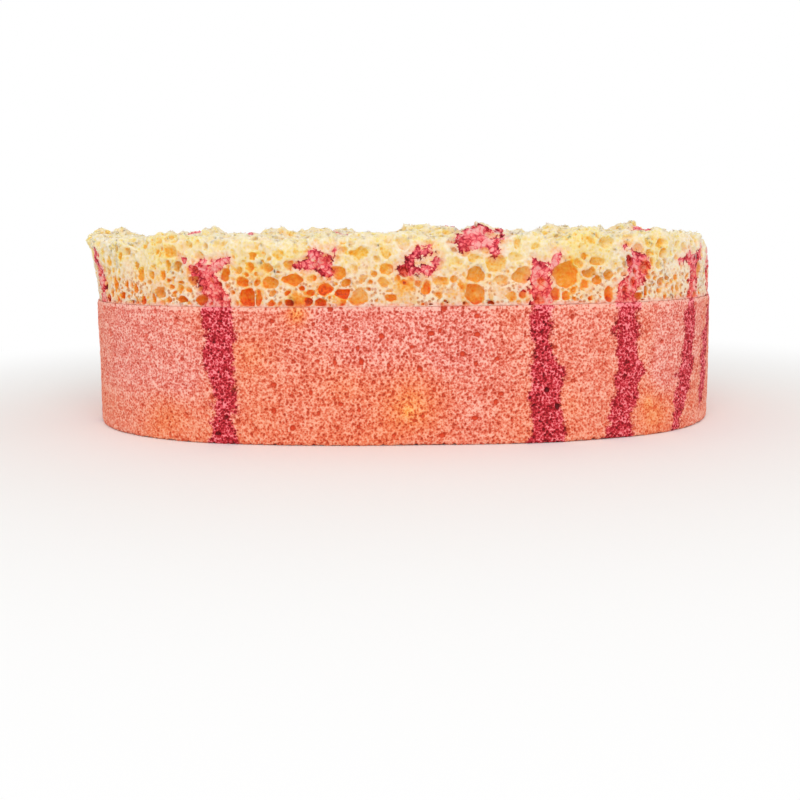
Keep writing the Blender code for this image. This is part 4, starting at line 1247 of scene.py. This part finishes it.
def build_fine_foam(finish):
    """Makes the fine foam body: rings up its wall, sunk by its pits, a pitted base grid, and a lid with the pocket."""
    count = BODY_COLUMNS
    spacing = PERIMETER / count
    outline, _ = outline_points(SPONGE_LENGTH, SPONGE_WIDTH, count)
    normal = outward(outline)
    edge = BODY_EDGE_ROUND
    rows = int((BODY_TOP - 2 * edge) / SIDE_ROW)
    profile = [(across * edge, up * edge) for across, up in FOOT_PROFILE]
    profile += [(0.0, height) for height in np.linspace(edge, BODY_TOP - 0.0002, rows)]
    profile += [(inset, BODY_TOP + rise) for inset, rise in LIP_PROFILE]
    inset, height = np.array(profile).T
    wall_rows = len(profile)
    depth = pit_depths(PERIMETER, BODY_TOP, spacing, FINE_PORE_SEED, True)
    level = np.clip(height / spacing, 0, depth.shape[1] - 2)
    column = np.broadcast_to(np.arange(count)[:, None], (count, wall_rows))
    sunk = sample(np.vstack([depth, depth[:1]]), column.astype(float), np.broadcast_to(level, column.shape))
    places = from_front(np.arange(count) / count)
    unrolled = np.stack(np.broadcast_arrays(places[:, None], height[None, :]), axis=2).reshape(-1, 2)
    uneven = noises_at(unrolled, WALL_UNEVEN).reshape(count, wall_rows)
    # The pits and waves fade out at the top of the wall, so that its lip stays even.
    fade = smooth_step(BODY_TOP + 0.0001, BODY_TOP - 0.0004, height)
    inward = inset + (PIT_SHARE_WALL * sunk - WALL_SWELL) * fade + uneven * fade
    plan = outline[:, None, :] - normal[:, None, :] * inward[..., None]
    ragged = 0.00012 * noise_at(unrolled, 0.0006, 89).reshape(count, wall_rows) * smooth_step(0.002, 0.0, height)
    lifted = np.maximum(height[None, :] + ragged + PIT_SHARE_FOOT * sunk * smooth_step(edge, 0.0, height), 0.0)
    wall = np.concatenate([plan, np.broadcast_to(lifted, (count, wall_rows))[..., None]], axis=2)
    wall = wall.transpose(1, 0, 2)
    points = [wall.reshape(-1, 3)]
    quads = [ring_quads(row * count, (row + 1) * count, count) for row in range(wall_rows - 1)]

    first = wall_rows * count
    inner = wall[0, ::2, :2] - BASE_INSET * normal[::2]
    triangles = [halved(0, first, count)[:, ::-1]]
    plan, number = base_grid(inner, BASE_COLUMNS_X, BASE_COLUMNS_Y)
    plan = np.concatenate([inner, plan])
    corner = np.array([SPONGE_LENGTH / 2, SPONGE_WIDTH / 2])
    raster = pit_depths(SPONGE_LENGTH, SPONGE_WIDTH, BASE_RASTER, FINE_PORE_SEED + 1, False)
    base_sunk = sample(raster, *((plan + corner) / BASE_RASTER).T)
    points.append(np.column_stack([plan, PIT_SHARE_BASE * base_sunk]))
    number = number + first
    quads.append(np.stack([number[:-1, :-1], number[:-1, 1:], number[1:, 1:], number[1:, :-1]], 2).reshape(-1, 4))
    lid_first = total = first + len(plan)

    ring_first, ring_count = (wall_rows - 1) * count, count
    pocket, _ = outline_points(SPONGE_LENGTH - 2 * POCKET_WALL, SPONGE_WIDTH - 2 * POCKET_WALL, count)
    for step, (share, level_up, scale) in enumerate(LID_STATIONS):
        halve = step < LID_HALVINGS
        stride = count // ring_count * (2 if halve else 1)
        ring = wall[-1, ::stride, :2] * (1 - share) + pocket[::stride] * share * scale
        points.append(np.column_stack([ring, np.full(len(ring), level_up)]))
        if halve:
            triangles.append(halved(ring_first, total, ring_count))
            ring_count //= 2
        else:
            quads.append(ring_quads(ring_first, total, ring_count))
        ring_first = total
        total += ring_count
    points.append(np.array([[0.0, 0.0, POCKET_FLOOR]]))
    i = np.arange(ring_count)
    triangles.append(np.stack([ring_first + i, ring_first + (i + 1) % ring_count, np.full(ring_count, total)], 1))

    points, quads, triangles = (np.concatenate(parts) for parts in (points, quads, triangles))
    thing = add_mesh("fine_foam", points, [quads, triangles], fine_foam_material(finish))
    pit = np.zeros(len(points))
    # Near the top the pits are painted shallower, so that fewer dark pits show under the lip.
    pit[:first] = np.minimum(sunk, 0.2 + smooth_step(BODY_TOP - 0.0005, BODY_TOP - 0.0015, height)).T.ravel()
    pit[first:lid_first] = base_sunk
    dye = np.full(len(points), -2.0)
    dye[:first] = band_dye(np.tile(places / MM, wall_rows), np.repeat(height / MM, count))
    dye[first:lid_first] = base_dye(plan)
    # The wall is painted paler towards its lip: a pale rim, and painted light over the shade of the crease above.
    pale_lit_top = 0.25 * smooth_step(BODY_TOP - 0.0009, BODY_TOP - 0.0003, points[:, 2])
    # The pits' painted shade is deepest at the front's middle, and fades towards both ends.
    round_it = np.abs(places_round(points))
    pit_shade_strength = 1.35 - 0.80 * smooth_step(18.0, 45.0, round_it) - 0.2 * smooth_step(48.0, 62.0, round_it)
    add_values(thing, pit=pit_shade_strength * np.clip(pit / PIT_SCALE, 0.0, 0.8) - pale_lit_top, dye=dye, tint=tint_of(points))
    add_map(thing, body_map(points, quads, triangles, first, lid_first))
    return thing


def body_map(points, quads, triangles, base_first, lid_first):
    """The UV places of the fine foam: its wall in four strips, its base above them and its lid beside them."""
    count = BODY_COLUMNS
    corners = np.concatenate([quads.ravel(), triangles.ravel()])
    owner = np.concatenate([np.repeat(quads.min(axis=1), 4), np.repeat(triangles.min(axis=1), 3)])
    highest = np.concatenate([np.repeat(quads.max(axis=1), 4), np.repeat(triangles.max(axis=1), 3)])
    places = np.empty((len(corners), 2))
    on_wall, on_lid = highest < base_first, highest >= lid_first
    column = corners[on_wall] % count
    wraps = np.repeat(np.ptp(column.reshape(-1, 4), axis=1) > count // 2, 4)
    column = np.where(wraps & (column < count // 2), column + count, column)
    strip = np.where(wraps, count - 1, owner[on_wall] % count) // (count // MAP_STRIPS)
    places[on_wall, 0] = MAP_MARGIN + (column - strip * (count // MAP_STRIPS)) * (PERIMETER / count)
    places[on_wall, 1] = MAP_MARGIN + strip * MAP_STRIP_PITCH + points[corners[on_wall], 2]
    half = np.array([SPONGE_LENGTH / 2, SPONGE_WIDTH / 2])
    on_base = ~on_wall & ~on_lid
    places[on_base] = MAP_BASE_CORNER + half + points[corners[on_base], :2]
    places[on_lid] = MAP_LID_CORNER + (half + points[corners[on_lid], :2]) * MAP_LID_SHRINK
    return places * (1.0 / MAP_WIDTH)


def soap_material(finish):
    """Foam filled with set glycerin soap, cast in place.

    The soap gives a smooth, waxy amber body that is a little clear, with faint clouds where it set slower.
    """
    material, node, shader = blank_material("glycerin_soap_cast")
    place = node("TexCoord").outputs["Object"]
    cloud = node("TexNoise", {"Vector": place, "Scale": 120.0, "Detail": 4.0})
    colour = node("ValToRGB", {"Fac": cloud}, ((0.3, finish.soap_dark), (0.7, finish.soap)))
    pores = node("TexVoronoi", {"Vector": place, "Scale": 900.0})
    rough = node("MapRange", {"Value": cloud, "To Min": 0.3, "To Max": 0.5})
    bump = node("Bump", {"Strength": 0.3, "Distance": 0.0002, "Height": pores})
    fill_inputs(material.node_tree, shader, {"Base Color": colour, "Roughness": rough, "Normal": bump})
    shader.inputs["IOR"].default_value = 1.47
    shader.inputs["Subsurface Weight"].default_value = 0.3
    shader.inputs["Subsurface Scale"].default_value = 0.003
    return material


def build_soap_core(finish):
    """Makes the soap pad: rings of a superellipse, rounded at both edges and sunk a little on top, where it set."""
    count = SOAP_COLUMNS
    length = SPONGE_LENGTH - 2 * (POCKET_WALL + TOUCH_GAP)
    width = SPONGE_WIDTH - 2 * (POCKET_WALL + TOUCH_GAP)
    outline, _ = outline_points(length, width, count)
    normal = outward(outline)
    bottom, top = POCKET_FLOOR + TOUCH_GAP, BODY_TOP
    turn = np.linspace(0.0, math.pi / 2, SOAP_EDGE_STEPS)
    edge = list(zip(POCKET_ROUND * (1.0 - np.sin(turn)), POCKET_ROUND * (1.0 - np.cos(turn))))
    shares = np.linspace(0.0, 1.0, SOAP_FLAT_STEPS)[1:-1]
    flat = 1.0 - 2 * POCKET_ROUND / width
    rings = [(outline * share * flat, bottom) for share in shares]
    rings += [(outline - normal * inset, bottom + up) for inset, up in edge]
    rings += [(outline - normal * inset, top - up) for inset, up in edge[::-1]]
    rings += [(outline * share * flat, top - SOAP_SINK * (1.0 - share**2)) for share in shares[::-1]]
    points = np.concatenate([np.column_stack([ring, np.full(count, up)]) for ring, up in rings])
    quads = np.concatenate([ring_quads(row * count, (row + 1) * count, count) for row in range(len(rings) - 1)])
    foot, head = len(points), len(points) + 1
    points = np.vstack([points, [[0.0, 0.0, bottom]], [[0.0, 0.0, top - SOAP_SINK]]])
    i = np.arange(count)
    last = (len(rings) - 1) * count
    under = np.stack([(i + 1) % count, i, np.full(count, foot)], axis=1)
    over = np.stack([last + i, last + (i + 1) % count, np.full(count, head)], axis=1)
    return add_mesh("soap_pad", points, [quads, np.concatenate([under, over])], soap_material(finish))


def adhesive_material(finish):
    """Hot-melt adhesive, sprayed as a web and pressed into a film.

    The melt gives a clear amber gloss broken by fine dull ridges where the strands crossed.
    """
    material, node, shader = blank_material("hot_melt_adhesive_film")
    place = node("TexCoord").outputs["Object"]
    web = node("TexVoronoi", {"Vector": place, "Scale": 700.0}, feature="DISTANCE_TO_EDGE")
    cloud = node("TexNoise", {"Vector": place, "Scale": 90.0, "Detail": 3.0})
    colour = node("ValToRGB", {"Fac": cloud}, ((0.3, finish.adhesive_dark), (0.7, finish.adhesive)))
    rough = node("MapRange", {"Value": web, "From Max": 0.2, "To Min": 0.6, "To Max": 0.35})
    bump = node("Bump", {"Strength": 0.4, "Distance": 0.0001, "Height": web})
    fill_inputs(material.node_tree, shader, {"Base Color": colour, "Roughness": rough, "Normal": bump})
    shader.inputs["IOR"].default_value = 1.48
    return material


def hex_setting(name, description, default):
    """A text setting that holds an sRGB hex colour."""
    return bpy.props.StringProperty(name=name, description=description, default=default, maxlen=7)


class SpongeFinish(bpy.types.PropertyGroup):
    """Colours of the sponge, as sRGB hex values, and how far its pad gives way."""

    cream_light: hex_setting("Cream rims", "Torn rims of the coarse foam, lit through", "#FFEAD4")
    cream: hex_setting("Cream", "Walls of the coarse foam near its top", "#FDE2BC")
    yellow_pale: hex_setting("Pale yellow", "Shallow pores near the top", "#FFE09A")
    yellow: hex_setting("Yellow", "Pores near the top that hold soap", "#FFC450")
    amber: hex_setting("Amber", "The deepest pores near the top", "#FFA428")
    cream_pink: hex_setting("Pink cream", "Rims of the coarse foam low down", "#FDDABC")
    peach: hex_setting("Peach", "Walls of the coarse foam low down", "#F9C89A")
    amber_pale: hex_setting("Pale amber", "Shallow pores low down", "#FDBE6C")
    orange: hex_setting("Orange", "Pores low down that hold soap", "#FF9C32")
    orange_deep: hex_setting("Deep orange", "The deepest pores low down", "#FF6818")
    # Its darkest stop also stands for painted shadow in the pores under dyed lumps and rings.
    rust_and_shadow: hex_setting("Rust", "Small deep pores where soap and dye have met", "#BC4018")
    coral_light: hex_setting("Coral struts", "Struts of the fine foam", "#FFC4B4")
    coral: hex_setting("Coral", "Mean colour of the fine foam", "#EE8A7B")
    coral_orange: hex_setting("Orange coral", "Fine foam where soap shows through", "#F28856")
    soap: hex_setting("Soap", "The soap pad", "#E2802A")
    soap_dark: hex_setting("Dark soap", "Clouds in the soap pad", "#C8631A")
    adhesive: hex_setting("Adhesive", "The film of adhesive", "#F4CE93")
    adhesive_dark: hex_setting("Dark adhesive", "Clouds in the film of adhesive", "#E2A862")
    squeeze_keep: bpy.props.FloatProperty(
        name="Kept height", description="Share of the body's height left when it is squeezed flat",
        default=1.0 - frame["joints"][0]["range_m"][1] / BODY_TOP,
        min=0.1, max=1.0, subtype="FACTOR",
    )
    key_power: bpy.props.FloatProperty(
        name="Key light", description="Power of the large soft lamp in front", default=1.43, min=0.0, unit="POWER"
    )
    sky_level: bpy.props.FloatProperty(
        name="Surrounding light", description="Strength of the even light from all round", default=0.74, min=0.0
    )


class SPONGE_OT_coarse_foam(bpy.types.Operator):
    """Build the coarse scrubbing foam over its CAD solid"""

    bl_idname = "sponge.coarse_foam"
    bl_label = "Coarse foam"

    def execute(self, context):
        thing = build_coarse_foam(context.scene.sponge_finish)
        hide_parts("coarse_foam_layer")
        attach(thing, "scrub_layer")
        return {"FINISHED"}


class SPONGE_OT_fine_foam(bpy.types.Operator):
    """Build the fine foam body over its CAD solid"""

    bl_idname = "sponge.fine_foam"
    bl_label = "Fine foam body"

    def execute(self, context):
        finish = context.scene.sponge_finish
        thing = build_fine_foam(finish)
        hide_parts("fine_foam_body")
        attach(thing, "base")
        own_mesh(thing)
        return {"FINISHED"}


class SPONGE_OT_soap_pad(bpy.types.Operator):
    """Build the soap pad in the fine foam's pocket"""

    bl_idname = "sponge.soap_pad"
    bl_label = "Soap pad"

    def execute(self, context):
        finish = context.scene.sponge_finish
        thing = build_soap_core(finish)
        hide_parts("soap_core")
        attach(thing, "base")
        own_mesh(thing)
        return {"FINISHED"}


class SPONGE_OT_bond_film(bpy.types.Operator):
    """Give the CAD film of adhesive its finish"""

    bl_idname = "sponge.bond_film"
    bl_label = "Film of adhesive"

    def execute(self, context):
        material = adhesive_material(context.scene.sponge_finish)
        for slot in frame["nodes"]["bond_film"].material_slots:
            slot.material = material
        return {"FINISHED"}


class SPONGE_OT_stage(bpy.types.Operator):
    """Set up the floor, the light and the camera"""

    bl_idname = "sponge.stage"
    bl_label = "Stage"

    def execute(self, context):
        finish = context.scene.sponge_finish
        make_floor()
        make_world(context.scene, finish.sky_level)
        make_lamp(finish.key_power)
        make_camera(context.scene)
        context.scene.view_settings.view_transform = "Standard"
        return {"FINISHED"}


def rays_of(node, first, *others):
    """1 for rays of these kinds and 0 for others."""
    path = node("LightPath")
    chosen = path.outputs[first]
    for kind in others:
        chosen = node("Math", {0: chosen, 1: path.outputs[kind]}, operation="MAXIMUM")
    return chosen


def make_floor():
    """A pale sheet of paper that keeps the shadow near the sponge and fades to white paper-bright further off."""
    material, node, shader = blank_material("white_paper_sweep")
    place = node("TexCoord").outputs["Object"]
    far = node("VectorMath", {0: place}, operation="LENGTH")
    near, beyond = FLOOR_FADE
    fade = node("MapRange", {"Value": far, "From Min": near, "From Max": beyond}, interpolation_type="SMOOTHSTEP")
    lit = node("Math", {0: fade, 1: rays_of(node, "Is Camera Ray", "Is Glossy Ray")}, operation="MULTIPLY")
    white = node("Emission", {"Color": linear("#FFFFFF"), "Strength": 1.0})
    grain = node("TexNoise", {"Vector": place, "Scale": 1500.0, "Detail": 2.0})
    bump = node("Bump", {"Strength": 0.05, "Distance": 0.0001, "Height": grain})
    mix = node("MixShader", {0: lit, 1: shader, 2: white})
    shader.inputs["Base Color"].default_value = linear("#F7F6F4")
    shader.inputs["Roughness"].default_value = 0.9
    tree = material.node_tree
    fill_inputs(tree, shader, {"Normal": bump})
    fill_inputs(tree, tree.nodes["Material Output"], {"Surface": mix})
    corners = np.array([[-1, -1, 0], [1, -1, 0], [1, 1, 0], [-1, 1, 0]]) * FLOOR_HALF - [0.0, 0.0, FLOOR_DROP]
    add_mesh("floor", corners, [np.array([[0, 1, 2, 3]])], material, smooth=False)


def make_world(scene, level):
    """Even light from all round, seen as white by the camera and in reflections."""
    world = bpy.data.worlds.new("white_studio")
    world.use_nodes = True
    world.node_tree.nodes.clear()
    node = functools.partial(add_node, world.node_tree)
    seen = rays_of(node, "Is Camera Ray", "Is Glossy Ray", "Is Transmission Ray")
    around, white = (
        node("Background", {"Color": linear("#FFFFFF"), "Strength": strength}) for strength in (level, 1.0)
    )
    mix = node("MixShader", {0: seen, 1: around, 2: white})
    node("OutputWorld", {"Surface": mix})
    scene.world = world


def make_lamp(power):
    """A large soft lamp in front and above."""
    lamp = bpy.data.lights.new("key_softbox", "AREA")
    lamp.shape = "RECTANGLE"
    lamp.size, lamp.size_y = LAMP_SIZE
    lamp.energy = power
    thing = bpy.data.objects.new("key_softbox", lamp)
    thing.location = LAMP_PLACE
    aim = np.array(LAMP_AIM) - np.array(thing.location)
    yaw = math.atan2(-aim[0], aim[1])
    tilt = math.pi / 2 + math.atan2(aim[2], math.hypot(aim[0], aim[1]))
    thing.rotation_euler = (tilt, 0.0, yaw)
    bpy.context.collection.objects.link(thing)


def make_camera(scene):
    """A camera almost level with the sponge's top, close in front of it, as fitted to the photograph."""
    camera = bpy.data.cameras.new("camera")
    camera.sensor_width = CAMERA_FILM
    camera.lens = CAMERA_LENS
    camera.shift_y = CAMERA_SHIFT
    camera.clip_start = 0.01
    thing = bpy.data.objects.new("camera", camera)
    thing.location = CAMERA_PLACE
    thing.rotation_euler = [math.radians(angle) for angle in CAMERA_TURN]
    bpy.context.collection.objects.link(thing)
    scene.camera = thing


class SPONGE_PT_panel(bpy.types.Panel):
    """The sponge's pieces, one button each"""

    bl_idname = "SPONGE_PT_panel"
    bl_label = "Sponge"
    bl_space_type = "VIEW_3D"
    bl_region_type = "UI"
    bl_category = "Sponge"

    def draw(self, context):
        column = self.layout.column(align=True)
        for operator in OPERATORS:
            column.operator(operator.bl_idname)
        for name in SpongeFinish.__annotations__:
            self.layout.prop(context.scene.sponge_finish, name)


OPERATORS = (
    SPONGE_OT_stage, SPONGE_OT_coarse_foam, SPONGE_OT_fine_foam, SPONGE_OT_soap_pad, SPONGE_OT_bond_film,
)


def register():
    bpy.utils.register_class(SpongeFinish)
    bpy.types.Scene.sponge_finish = bpy.props.PointerProperty(type=SpongeFinish)
    for operator in OPERATORS:
        bpy.utils.register_class(operator)
    bpy.utils.register_class(SPONGE_PT_panel)


def unregister():
    bpy.utils.unregister_class(SPONGE_PT_panel)
    for operator in reversed(OPERATORS):
        bpy.utils.unregister_class(operator)
    del bpy.types.Scene.sponge_finish
    bpy.utils.unregister_class(SpongeFinish)


def main():
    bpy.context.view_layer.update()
    register()
    bpy.ops.sponge.stage()
    bpy.ops.sponge.coarse_foam()
    bpy.ops.sponge.fine_foam()
    bpy.ops.sponge.soap_pad()
    bpy.ops.sponge.bond_film()


if __name__ == "__main__":
    main()
